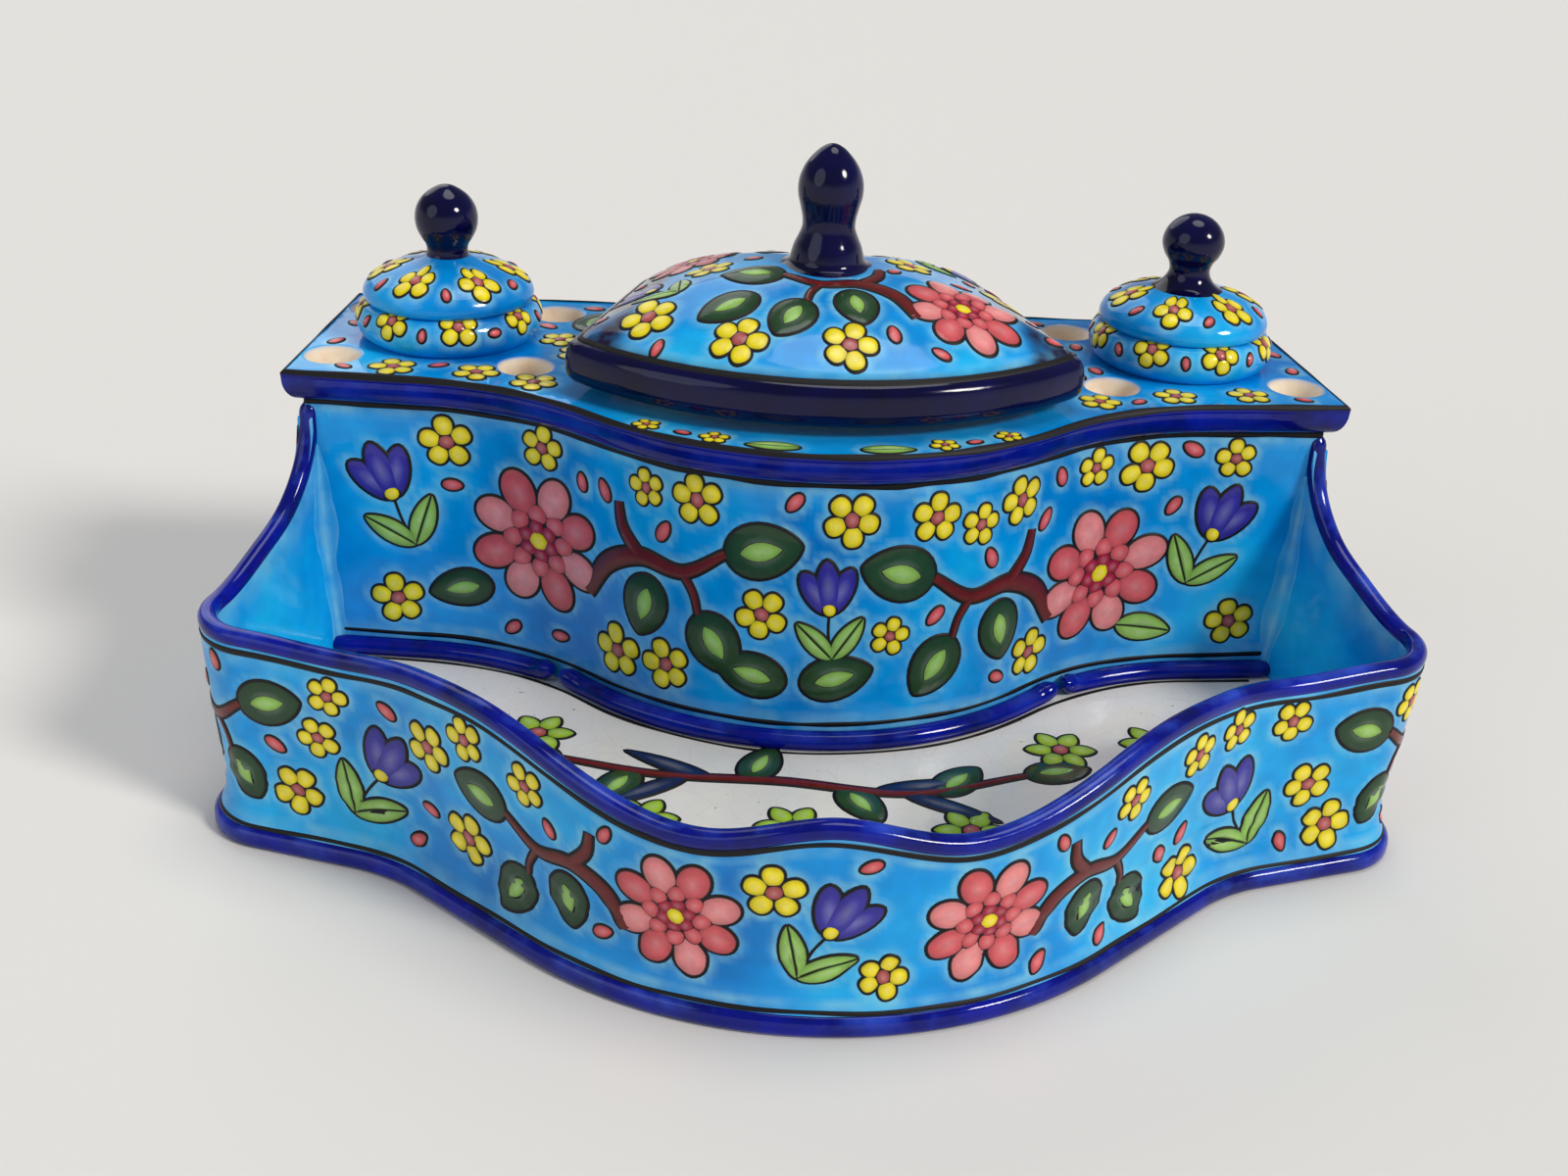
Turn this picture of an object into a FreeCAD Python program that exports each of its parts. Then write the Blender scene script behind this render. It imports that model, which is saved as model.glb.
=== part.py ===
"""Glazed ceramic inkstand: a bow-fronted pen tray, and a raised case with two ink pots and a covered well.

Millimetres, +Z up, front towards -Y. The plan is drawn with Y = 0 on the line through the deck's front
corners, and each piece is moved at the end so that the origin is under the middle of the whole stand.
"""
import FreeCAD, Part
import math
import os

Vec = FreeCAD.Vector

# Deck and case
DECK_FRONT_WIDTH = 260.0
DECK_BACK_WIDTH = 246.4
DECK_DEPTH = 64.0
DECK_HEIGHT = 98.0
DECK_THICKNESS = 12.0
DECK_LIP = 2.2
DECK_KNEE_SPAN = 149.0
DECK_WING_ANGLE = 4.8
DECK_FLANK_ANGLE = 41.7
DECK_BOW_SHARE = 0.72
DECK_KNEE_SHARE = 0.24
MOULDING_DEPTH = 4.0
MOULDING_HEIGHT = 5.6
MOULDING_FOOT = 0.6
MOULDING_STEPS = 5
CASE_WALL = 5.5

# Tray
TRAY_FLARE = 19.4
TRAY_CORNER_RADIUS = 16.0
TRAY_WING_SPAN = 50.0
TRAY_KNEE_REACH = 67.0
TRAY_WING_ANGLE = 17.0
TRAY_FLANK_ANGLE = 41.0
TRAY_BOW_SHARE = 0.64
TRAY_KNEE_SHARE = 0.075
TRAY_WALL = 4.0
WAIST_INSET = 2.8
WAIST_HEIGHT = 16.0
FLOOR_HEIGHT = 22.0
FLOOR_THICKNESS = 6.0
FOOT_HEIGHT = 4.6
FOOT_LEDGE = 0.8
FOOT_WIDTH = 7.6
CASE_FOOT_LEDGE = 1.6

# Rim of the tray wall: height at the middle of the front, the dip beside it, and the rise further round
RIM_HEIGHT = 52.0
RIM_DIP = 5.5
RIM_KNEE_RISE = 5.5
RIM_WING_RISE = 3.5
RIM_CORNER_RISE = 4.5
RIM_DIP_SHARE = 0.19
RIM_KNEE_SHARE = 0.52
RIM_WING_SHARE = 0.72
RIM_CORNER_SHARE = 0.88
RIM_TOP_DROP = 10.5
RIM_EAR_DROP = 21.0
RIM_EAR_LEAN = 1.5
RIM_SWEEP_SHARES = ((0.57, 0.24), (0.26, 0.51))
BEAD_HEIGHT = 4.2
BEAD_OVERHANG = 0.2
EAR_STEP = 2.0

# Coils along the foot of the case front
COIL_WIDTH = 5.0
COIL_HEIGHT = 4.6
COIL_STEPS = 4
COIL_GAP = 4.0
COIL_GAP_SPAN = 128.0

# Pen sockets, four around each ink pot
SOCKET_RADIUS = 6.0
SOCKET_FOOT_RADIUS = 2.5
SOCKET_DEPTH = 9.0
SOCKET_LIP = 0.9
SOCKET_SPACING = 47.6
SOCKET_EDGE = 8.7
SOCKET_FRONT_REACH = 21.6
SOCKET_BACK_REACH = 19.1

# Ink pots
POT_SETBACK = 33.0
POT_RADIUS = 17.0
POT_WALL = 3.2
POT_DEPTH = 42.0
POT_FLOOR = 4.0
POT_CLEARANCE = 0.6
COLLAR_RADIUS = 23.3
COLLAR_HEIGHT = 9.4
COLLAR_FOOT_RADIUS = 20.6
COLLAR_TOP_RADIUS = 20.2

# Lids of the ink pots
LID_RADIUS = 21.4
LID_EDGE_HEIGHT = 3.6
LID_FOOT_RADIUS = 19.9
LID_HEIGHT = 11.2
LID_DOME_SHARES = ((0.965, 0.36), (0.74, 0.66), (0.46, 0.83), (0.31, 0.92))
LID_SKIN = 3.0
LID_FLANGE_DEPTH = 5.0
LID_FLANGE_WALL = 2.2
LID_CLEARANCE = 0.6
KNOB_NECK_RADIUS = 5.2
KNOB_RADIUS = 7.8
KNOB_HEIGHT = 17.6
KNOB_PROFILE_SHARES = ((0.66, 0.08), (0.69, 0.16), (0.94, 0.36), (1.0, 0.54), (0.82, 0.77), (0.52, 0.91))

# Covered well in the middle of the deck, and its lid
COVER_FRONT_WIDTH = 124.0
COVER_BACK_WIDTH = 93.0
COVER_DEPTH = 54.5
COVER_SETBACK = -9.0
COVER_BOW = 26.5
COVER_BACK_BOW = 4.0
COVER_EDGE_HEIGHT = 9.5
COVER_DOME_HEIGHT = 15.5
COVER_WALL = 5.0
COVER_EDGE_SHARES = ((0.965, 0.0), (1.0, 0.22), (1.0, 0.70), (0.955, 1.0))
COVER_DOME_SHARES = ((0.80, 0.36), (0.60, 0.66), (0.38, 0.88), (0.14, 1.0))
COVER_CENTRE_SHARE = 0.395
WELL_INSET = 10.0
WELL_WALL = 4.0
WELL_RIM = 3.0
WELL_DEPTH = 46.0
WELL_FLOOR = 4.0
WELL_CLEARANCE = 0.3
COVER_FLANGE_DEPTH = 5.0
COVER_FLANGE_WALL = 3.0
COVER_CLEARANCE = 0.8
FINIAL_SKIRT_RADIUS = 12.6
FINIAL_RADIUS = 8.0
FINIAL_HEIGHT = 28.5
FINIAL_SINK = 2.0
FINIAL_SKIRT_HEIGHT = 1.4
FINIAL_PROFILE_SHARES = ((1.19, 0.08), (1.06, 0.157), (0.91, 0.256), (0.795, 0.357), (0.85, 0.472),
                         (0.975, 0.61), (0.965, 0.698), (0.81, 0.816), (0.51, 0.915))

# Cutting tools run past what they cut by this much
OVERRUN = 20.0
# Points closer than this are taken as one
SAME_POINT = 1e-6


def unit(vector):
    """The vector at length one."""
    return vector * (1 / vector.Length)


def outward(start, end):
    """Outward normal of an edge on an outline drawn counter-clockwise."""
    along = unit(end - start)
    return Vec(along.y, -along.x, 0)


def mirrored(points):
    """Left-hand points, given from back to front, as right-hand points from front to back."""
    return [Vec(-point.x, point.y, 0) for point in reversed(points)]


def inset_points(points, inset):
    """Corners of a closed outline once every edge has moved inwards by the inset."""
    moved = []
    for index, point in enumerate(points):
        before = outward(points[index - 1], point)
        after = outward(point, points[(index + 1) % len(points)])
        moved.append(point - (before + after) * (inset / (1 + before.dot(after))))
    return moved


def outline(points, radii, inset=0.0, height=0.0):
    """Closed wire through the inset corners, with tangent arcs where a corner has a radius."""
    corners = inset_points(points, inset)
    stops = []
    for index, corner in enumerate(corners):
        back = unit(corners[index - 1] - corner)
        ahead = unit(corners[(index + 1) % len(corners)] - corner)
        if radii[index] == 0:
            stops.append((corner, None, corner))
            continue
        convex = ahead.cross(back).z > 0
        radius = radii[index] - inset if convex else radii[index] + inset
        half_turn = (math.pi - back.getAngle(ahead)) / 2
        reach = radius * math.tan(half_turn)
        middle = corner + unit(back + ahead) * (radius / math.cos(half_turn) - radius)
        stops.append((corner + back * reach, middle, corner + ahead * reach))
    edges = []
    for index, (start, middle, end) in enumerate(stops):
        if middle is not None:
            edges.append(Part.Arc(start, middle, end).toShape())
        following = stops[(index + 1) % len(stops)][0]
        if end.distanceToPoint(following) > SAME_POINT:
            edges.append(Part.LineSegment(end, following).toShape())
    wire = Part.Wire(edges)
    wire.translate(Vec(0, 0, height))
    return wire


def prism(wire, bottom, top):
    """Upright solid over a flat wire drawn at height zero."""
    solid = Part.Face(wire).extrude(Vec(0, 0, top - bottom))
    solid.translate(Vec(0, 0, bottom))
    return solid


def one_solid(shape):
    """The single solid that a cut or join should leave."""
    solids = shape.removeSplitter().Solids
    if len(solids) != 1:
        raise ValueError("expected one solid, found %d" % len(solids))
    return solids[0]


def turned(edges, centre, bottom):
    """Solid of revolution about a vertical axis from edges drawn in the XZ plane."""
    solid = Part.Face(Part.Wire(edges)).revolve(Vec(0, 0, 0), Vec(0, 0, 1), 360)
    solid.translate(Vec(centre.x, centre.y, bottom))
    return solid


def chain(points):
    """Straight edges through the points in order."""
    return [Part.LineSegment(start, end).toShape() for start, end in zip(points, points[1:])]


def smooth(points):
    """One smooth edge through the points."""
    curve = Part.BSplineCurve()
    curve.interpolate(points)
    return curve.toShape()


def serpentine(knee, wing_angle, flank_angle, bow_share, knee_share):
    """Tip of a bow front before rounding, and the radii of its knees and of the bow itself."""
    flank = math.radians(flank_angle)
    flank_length = abs(knee.x) / math.cos(flank)
    tip = Vec(0, knee.y - abs(knee.x) * math.tan(flank), 0)
    bow_radius = bow_share * flank_length / math.tan(flank)
    knee_radius = knee_share * flank_length / math.tan((flank - math.radians(wing_angle)) / 2)
    return tip, bow_radius, knee_radius


def wing_drop(outer_x, inner_x, angle):
    """How far a sloping wing moves along Y between two places across the front."""
    return (outer_x - inner_x) * math.tan(math.radians(angle))


# Outline of the deck
deck_corner = Vec(-DECK_FRONT_WIDTH / 2, 0, 0)
deck_knee_drop = wing_drop(DECK_FRONT_WIDTH / 2, DECK_KNEE_SPAN / 2, DECK_WING_ANGLE)
deck_knee = Vec(-DECK_KNEE_SPAN / 2, -deck_knee_drop, 0)
deck_left = [Vec(-DECK_BACK_WIDTH / 2, DECK_DEPTH, 0), deck_corner, deck_knee]
deck_tip, deck_bow_radius, deck_knee_radius = serpentine(
    deck_knee, DECK_WING_ANGLE, DECK_FLANK_ANGLE, DECK_BOW_SHARE, DECK_KNEE_SHARE)
deck_points = deck_left + [deck_tip] + mirrored(deck_left)
deck_radii = [0, 0, deck_knee_radius, deck_bow_radius, deck_knee_radius, 0, 0]

# Outline of the tray: from inside the case, along the flared side, round the corner and along the bow
case_corner = inset_points(deck_points, MOULDING_DEPTH)[1]
case_inner_back = inset_points(deck_points, MOULDING_DEPTH + CASE_WALL)[0]
tray_ear = case_corner - Vec(EAR_STEP, 0, 0)
tray_half = TRAY_FLARE - tray_ear.x
tray_knee = Vec(TRAY_WING_SPAN - tray_half, -TRAY_KNEE_REACH, 0)
tray_corner = Vec(-tray_half, wing_drop(tray_half, -tray_knee.x, TRAY_WING_ANGLE) - TRAY_KNEE_REACH, 0)
tray_left = [case_inner_back, tray_ear, tray_corner, tray_knee]
tray_tip, tray_bow_radius, tray_knee_radius = serpentine(
    tray_knee, TRAY_WING_ANGLE, TRAY_FLANK_ANGLE, TRAY_BOW_SHARE, TRAY_KNEE_SHARE)
tray_points = tray_left + [tray_tip] + mirrored(tray_left)
tray_radii = [0, 0, TRAY_CORNER_RADIUS, tray_knee_radius, tray_bow_radius,
              tray_knee_radius, TRAY_CORNER_RADIUS, 0, 0]

# Heights that follow from the driving sizes
slab_bottom = DECK_HEIGHT - DECK_THICKNESS
lip_bottom = DECK_HEIGHT - DECK_LIP
floor_bottom = FLOOR_HEIGHT - FLOOR_THICKNESS
inner_inset = WAIST_INSET + TRAY_WALL
rim_inner_inset = BEAD_OVERHANG + TRAY_WALL
tray_front = outline(tray_points, tray_radii, -FOOT_LEDGE).BoundBox.YMin
frame_shift = Vec(0, -(DECK_DEPTH + tray_front) / 2, 0)
deck_slant = (DECK_FRONT_WIDTH - DECK_BACK_WIDTH) / (DECK_DEPTH + DECK_DEPTH)
pot_reach = DECK_FRONT_WIDTH / 2 - POT_SETBACK * deck_slant - SOCKET_EDGE - SOCKET_SPACING / 2
pot_centres = {"left": Vec(-pot_reach, POT_SETBACK, 0), "right": Vec(pot_reach, POT_SETBACK, 0)}
cover_seat = DECK_HEIGHT + WELL_RIM
cover_top = cover_seat + COVER_EDGE_HEIGHT + COVER_DOME_HEIGHT
lid_seat = DECK_HEIGHT + COLLAR_HEIGHT


def case_outline(inset):
    """Outline of the case, inset from its outer faces."""
    return outline(deck_points, deck_radii, MOULDING_DEPTH + inset)


def case_block(bottom, top, inset=0.0):
    """Solid block over the outline of the case."""
    return prism(case_outline(inset), bottom, top)


def side_strip(sign):
    """Block that takes in one side wall of the case along its whole length."""
    corners = inset_points(deck_points, MOULDING_DEPTH)
    back, front = corners[0], corners[1]
    along = unit(back - front)
    inwards = outward(front, back) * CASE_WALL
    start = front - along * OVERRUN
    end = back + along * OVERRUN
    points = [start, end, end + inwards, start + inwards]
    placed = [Vec(point.x * -sign, point.y, 0) for point in points]
    return prism(Part.makePolygon(placed + placed[:1]), 0, DECK_HEIGHT)


def case_side(sign):
    """Side wall of the case, from its foot to the underside of the deck."""
    return one_solid(case_block(FOOT_HEIGHT, slab_bottom).common(side_strip(sign)))


def case_cross_wall(front):
    """Bowed front wall of the case, or its straight back wall, between the two side walls."""
    bottom = FLOOR_HEIGHT if front else FOOT_HEIGHT
    wall = case_block(bottom, slab_bottom).cut(case_block(0, DECK_HEIGHT, CASE_WALL))
    wall = wall.cut(side_strip(-1)).cut(side_strip(1))
    pieces = sorted(wall.Solids, key=lambda solid: solid.CenterOfMass.y)
    return pieces[0] if front else pieces[-1]


def rim_sections(extra_outside, extra_inside):
    """Outer and inner blocks of the tray wall, leaning out from the waist to the rim."""
    outer = [(FOOT_HEIGHT, (WAIST_INSET - FOOT_LEDGE) / 2), (WAIST_HEIGHT, WAIST_INSET),
             (RIM_HEIGHT, BEAD_OVERHANG), (DECK_HEIGHT, BEAD_OVERHANG)]
    inner = [(0, inner_inset), (FLOOR_HEIGHT, inner_inset),
             (RIM_HEIGHT, rim_inner_inset), (DECK_HEIGHT, rim_inner_inset)]
    outer_wires = [outline(tray_points, tray_radii, inset - extra_outside, z) for z, inset in outer]
    inner_wires = [outline(tray_points, tray_radii, inset + extra_inside, z) for z, inset in inner]
    return Part.makeLoft(outer_wires, True, True), Part.makeLoft(inner_wires, True, True)


def front_heights(drop):
    """Block under the rim line of the tray's front and wings."""
    rises = ((1.0, RIM_CORNER_RISE), (RIM_CORNER_SHARE, RIM_CORNER_RISE), (RIM_WING_SHARE, RIM_WING_RISE),
             (RIM_KNEE_SHARE, RIM_KNEE_RISE), (RIM_DIP_SHARE, -RIM_DIP))
    left = [Vec(-tray_half * share, 0, RIM_HEIGHT + rise - drop) for share, rise in rises]
    middle = Vec(0, 0, RIM_HEIGHT - drop)
    right = [Vec(-point.x, 0, point.z) for point in reversed(left)]
    top = smooth(left + [middle] + right)
    sides = chain([right[-1], Vec(tray_half, 0, 0), Vec(-tray_half, 0, 0), left[0]])
    block = Part.Face(Part.Wire([top] + sides)).extrude(Vec(0, tray_turn().y - tray_front + OVERRUN, 0))
    block.translate(Vec(0, tray_front - OVERRUN, 0))
    return block


def tray_turn():
    """Place on the tray's side where the corner's rounding ends and the side begins to rise."""
    towards_case = unit(tray_ear - tray_corner)
    towards_knee = unit(tray_knee - tray_corner)
    half_turn = (math.pi - towards_case.getAngle(towards_knee)) / 2
    return tray_corner + towards_case * (TRAY_CORNER_RADIUS * math.tan(half_turn))


def side_heights(drop):
    """Block under the rim line of the tray's sides, which sweeps up to the case."""
    start = tray_turn().y
    low = RIM_HEIGHT + RIM_CORNER_RISE - drop
    high = DECK_HEIGHT - RIM_TOP_DROP - drop
    ear = Vec(0, case_corner.y - RIM_EAR_LEAN, DECK_HEIGHT - RIM_EAR_DROP - drop)
    corner = Vec(0, start, low)
    belly = [Vec(0, ear.y + (start - ear.y) * forward, low + (ear.z - low) * rise)
             for forward, rise in RIM_SWEEP_SHARES]
    sweep = smooth([corner] + belly + [ear])
    rest = chain([ear, Vec(0, case_corner.y, high), Vec(0, case_corner.y, 0), Vec(0, start, 0), corner])
    block = Part.Face(Part.Wire([sweep] + rest)).extrude(Vec(tray_half + tray_half, 0, 0))
    block.translate(Vec(-tray_half, 0, 0))
    return block


def under_rim(shape, drop):
    """The part of a shape that lies below the rim line lowered by the drop."""
    front = shape.common(front_heights(drop))
    sides = shape.common(side_heights(drop))
    return front.fuse(sides).removeSplitter()


def tray_wall():
    """Wall of the tray, from the foot to just under its rim bead."""
    outer, inner = rim_sections(0, 0)
    ring = outer.cut(inner).cut(case_block(0, DECK_HEIGHT))
    return one_solid(under_rim(ring, BEAD_HEIGHT))


def rim_bead():
    """Thicker bead along the top of the tray wall."""
    outer, inner = rim_sections(BEAD_OVERHANG, BEAD_OVERHANG)
    ring = outer.cut(inner).cut(case_block(0, DECK_HEIGHT))
    whole = under_rim(ring, 0)
    return one_solid(whole.cut(front_heights(BEAD_HEIGHT)).cut(side_heights(BEAD_HEIGHT)))


def foot_rim():
    """Foot band that runs round the tray and the case and stands on the table."""
    outer = prism(outline(tray_points, tray_radii, -FOOT_LEDGE), 0, FOOT_HEIGHT)
    outer = outer.fuse(case_block(0, FOOT_HEIGHT, -CASE_FOOT_LEDGE))
    inner = prism(outline(tray_points, tray_radii, FOOT_WIDTH - FOOT_LEDGE), -OVERRUN, DECK_HEIGHT)
    inner = inner.fuse(case_block(-OVERRUN, DECK_HEIGHT, CASE_WALL))
    return one_solid(outer.cut(inner))


def floor_slab():
    """Raised floor of the tray, which also closes the case below."""
    tray = prism(outline(tray_points, tray_radii, inner_inset), floor_bottom, FLOOR_HEIGHT)
    slab = tray.fuse(case_block(floor_bottom, FLOOR_HEIGHT, CASE_WALL))
    return one_solid(slab.cut(case_side(-1)).cut(case_side(1)))


def floor_coil(low_x, high_x):
    """Rounded coil along the foot of the case front, between two places across the front."""
    wires = []
    for step in range(COIL_STEPS + 1):
        angle = math.pi / 2 * step / COIL_STEPS
        inset = MOULDING_DEPTH - COIL_WIDTH * math.cos(angle)
        height = FLOOR_HEIGHT + COIL_HEIGHT * math.sin(angle)
        wires.append(outline(deck_points, deck_radii, inset, height))
    coil = Part.makeLoft(wires, True, True).cut(case_block(0, DECK_HEIGHT))
    span = Part.makeBox(high_x - low_x, case_corner.y - deck_tip.y, DECK_HEIGHT)
    span.translate(Vec(low_x, deck_tip.y - COIL_WIDTH, 0))
    return one_solid(coil.common(span))


def deck_slab():
    """Deck with its thin overhanging lip and the holes for pots, pens and well."""
    lip = prism(outline(deck_points, deck_radii), lip_bottom, DECK_HEIGHT)
    slab = case_block(slab_bottom, lip_bottom).fuse(lip)
    for centre in pot_centres.values():
        slab = slab.cut(bore(centre, POT_RADIUS + POT_CLEARANCE))
        for place in socket_places(centre):
            slab = slab.cut(socket(place))
    slab = slab.cut(prism(cover_outline(WELL_INSET - WELL_CLEARANCE), 0, DECK_HEIGHT + OVERRUN))
    return one_solid(slab)


def bore(place, radius):
    """Upright cutter through the deck."""
    return Part.makeCylinder(radius, DECK_HEIGHT, Vec(place.x, place.y, slab_bottom - OVERRUN))


def socket(place):
    """Cutter for a tapered pen socket with a sloping lip."""
    mouth = Vec(SOCKET_RADIUS + SOCKET_LIP, 0, 0)
    neck = Vec(SOCKET_RADIUS, 0, -SOCKET_LIP)
    foot = Vec(SOCKET_FOOT_RADIUS, 0, -SOCKET_DEPTH)
    edges = chain([mouth, neck, foot, Vec(0, 0, -SOCKET_DEPTH), Vec(0, 0, 0), mouth])
    return turned(edges, place, DECK_HEIGHT)


def socket_places(centre):
    """Centres of the pen sockets around a pot: a pair along the deck's front and a pair along its back."""
    wing = math.tan(math.radians(DECK_WING_ANGLE))
    outwards = math.copysign(1, centre.x)
    places = []
    for across in (-SOCKET_SPACING / 2, SOCKET_SPACING / 2):
        front_x = across + SOCKET_FRONT_REACH * deck_slant
        back_x = across - SOCKET_BACK_REACH * deck_slant
        places.append(centre + Vec(outwards * front_x, across * wing - SOCKET_FRONT_REACH, 0))
        places.append(centre + Vec(outwards * back_x, SOCKET_BACK_REACH, 0))
    return places


def deck_moulding():
    """Rounded moulding under the deck's lip, all the way round."""
    wires = []
    for step in range(MOULDING_STEPS + 1):
        angle = math.pi / 2 * step / MOULDING_STEPS
        inset = (MOULDING_DEPTH - MOULDING_FOOT) * (1 - math.sin(angle))
        height = lip_bottom - MOULDING_HEIGHT * math.cos(angle)
        wires.append(outline(deck_points, deck_radii, inset, height))
    return one_solid(Part.makeLoft(wires, True, True).cut(case_block(0, DECK_HEIGHT)))


def cover_outline(inset=0.0, scale=1.0, height=0.0):
    """Outline of the middle lid: a bowed front, slanting sides and a nearly straight back."""
    front = COVER_SETBACK
    back = front + COVER_DEPTH
    left_front = Vec(-COVER_FRONT_WIDTH / 2, front, 0)
    right_front = Vec(COVER_FRONT_WIDTH / 2, front, 0)
    right_back = Vec(COVER_BACK_WIDTH / 2, back, 0)
    left_back = Vec(-COVER_BACK_WIDTH / 2, back, 0)
    wire = Part.Wire([
        Part.Arc(left_front, Vec(0, front - COVER_BOW, 0), right_front).toShape(),
        Part.LineSegment(right_front, right_back).toShape(),
        Part.Arc(right_back, Vec(0, back + COVER_BACK_BOW, 0), left_back).toShape(),
        Part.LineSegment(left_back, left_front).toShape()])
    if inset:
        wire = wire.makeOffset2D(-inset, 2)
    if scale != 1:
        wire.scale(scale, cover_centre())
    wire.translate(Vec(0, 0, height))
    return wire


def cover_centre():
    """Where the finial stands on the middle lid."""
    return Vec(0, COVER_SETBACK + COVER_DEPTH * COVER_CENTRE_SHARE, 0)


def well():
    """Open well in the middle of the deck, with a bare rim that the lid rests on."""
    bottom = cover_seat - WELL_DEPTH
    outer = prism(cover_outline(WELL_INSET), bottom, cover_seat)
    inner = prism(cover_outline(WELL_INSET + WELL_WALL), bottom + WELL_FLOOR, cover_seat + OVERRUN)
    flange = prism(cover_outline(WELL_INSET - WELL_WALL), slab_bottom - WELL_WALL, slab_bottom)
    return one_solid(outer.fuse(flange).cut(inner))


def cover_shell(skin):
    """Pillow shape of the middle lid, made smaller all over by the skin."""
    edge_top = COVER_EDGE_HEIGHT - skin
    dome_bottom = cover_seat + edge_top
    width_share = 1 - 2 * skin / COVER_FRONT_WIDTH
    wires = []
    for share, rise in COVER_EDGE_SHARES:
        wires.append(cover_outline(0, share * width_share, cover_seat + edge_top * rise))
    for share, rise in COVER_DOME_SHARES:
        wires.append(cover_outline(0, share * width_share, dome_bottom + COVER_DOME_HEIGHT * rise))
    return Part.makeLoft(wires, True, True)


def cover():
    """Middle lid: a hollow pillow with a locating flange below."""
    flange_inset = WELL_INSET + WELL_WALL + COVER_CLEARANCE
    hollow_outline = cover_outline(flange_inset + COVER_FLANGE_WALL)
    flange_top = cover_seat + COVER_EDGE_HEIGHT - COVER_WALL / 2
    flange = prism(cover_outline(flange_inset), cover_seat - COVER_FLANGE_DEPTH, flange_top)
    flange = flange.cut(prism(hollow_outline, 0, flange_top + OVERRUN))
    shell = cover_shell(0)
    mouth = prism(hollow_outline, cover_seat - OVERRUN, cover_seat + COVER_WALL).common(shell)
    vault = cover_shell(COVER_WALL).common(prism(hollow_outline, 0, cover_top))
    seat = Part.makeCylinder(FINIAL_SKIRT_RADIUS, OVERRUN)
    seat.translate(cover_centre() + Vec(0, 0, cover_top - FINIAL_SINK))
    return one_solid(shell.cut(mouth.fuse(vault)).fuse(flange).cut(seat))


def spun_profile(foot_radius, radius, height, shares, skirt=0.0):
    """Edges of a knob's half section: flat foot, any straight skirt, smooth side to the tip, and axis."""
    points = [Vec(foot_radius, 0, skirt)]
    points += [Vec(radius * wide, 0, height * high) for wide, high in shares]
    points.append(Vec(0, 0, height))
    side = smooth(points)
    foot = [Vec(foot_radius, 0, 0)] if skirt else []
    return [side] + chain([points[-1], Vec(0, 0, 0)] + foot + [points[0]])


def finial():
    """Turned finial, set in a round recess on top of the middle lid."""
    height = FINIAL_HEIGHT + FINIAL_SINK
    edges = spun_profile(FINIAL_SKIRT_RADIUS, FINIAL_RADIUS, height, FINIAL_PROFILE_SHARES,
                         FINIAL_SKIRT_HEIGHT)
    return one_solid(turned(edges, cover_centre(), cover_top - FINIAL_SINK))


def pot(centre):
    """Ink pot with a rounded collar that rests on the deck."""
    middle = COLLAR_HEIGHT / 2
    foot = Vec(COLLAR_FOOT_RADIUS, 0, 0)
    top = Vec(COLLAR_TOP_RADIUS, 0, COLLAR_HEIGHT)
    inner = POT_RADIUS - POT_WALL
    edges = [Part.Arc(foot, Vec(COLLAR_RADIUS, 0, middle), top).toShape()]
    edges += chain([top, Vec(inner, 0, COLLAR_HEIGHT), Vec(inner, 0, POT_FLOOR - POT_DEPTH),
                    Vec(0, 0, POT_FLOOR - POT_DEPTH), Vec(0, 0, -POT_DEPTH), Vec(POT_RADIUS, 0, -POT_DEPTH),
                    Vec(POT_RADIUS, 0, 0), foot])
    return turned(edges, centre, DECK_HEIGHT)


def pot_lid(centre):
    """Domed lid of an ink pot, with a flange that drops into the pot's mouth."""
    flange_radius = POT_RADIUS - POT_WALL - LID_CLEARANCE
    flange_inner = flange_radius - LID_FLANGE_WALL
    foot = Vec(LID_FOOT_RADIUS, 0, 0)
    shoulder = Vec(LID_RADIUS, 0, LID_EDGE_HEIGHT / 2)
    dome = [Vec(LID_RADIUS * wide, 0, LID_HEIGHT * high) for wide, high in LID_DOME_SHARES]
    neck = Vec(KNOB_NECK_RADIUS, 0, LID_HEIGHT)
    edges = [smooth([foot, shoulder] + dome + [neck])]
    edges += chain([neck, Vec(0, 0, LID_HEIGHT), Vec(0, 0, LID_HEIGHT - LID_SKIN),
                    Vec(flange_inner, 0, LID_SKIN), Vec(flange_inner, 0, -LID_FLANGE_DEPTH),
                    Vec(flange_radius, 0, -LID_FLANGE_DEPTH), Vec(flange_radius, 0, 0), foot])
    return turned(edges, centre, lid_seat)


def lid_knob(centre):
    """Round knob on a pot lid."""
    edges = spun_profile(KNOB_NECK_RADIUS, KNOB_RADIUS, KNOB_HEIGHT, KNOB_PROFILE_SHARES)
    return turned(edges, centre, lid_seat + LID_HEIGHT)


def coil_spans():
    """Where the three coils start and end across the front."""
    end = abs(case_corner.x) - CASE_WALL - BEAD_OVERHANG
    inner = COIL_GAP_SPAN / 2
    half_gap = COIL_GAP / 2
    return {"left": (-end, -inner - half_gap), "centre": (half_gap - inner, inner - half_gap),
            "right": (inner + half_gap, end)}


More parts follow.
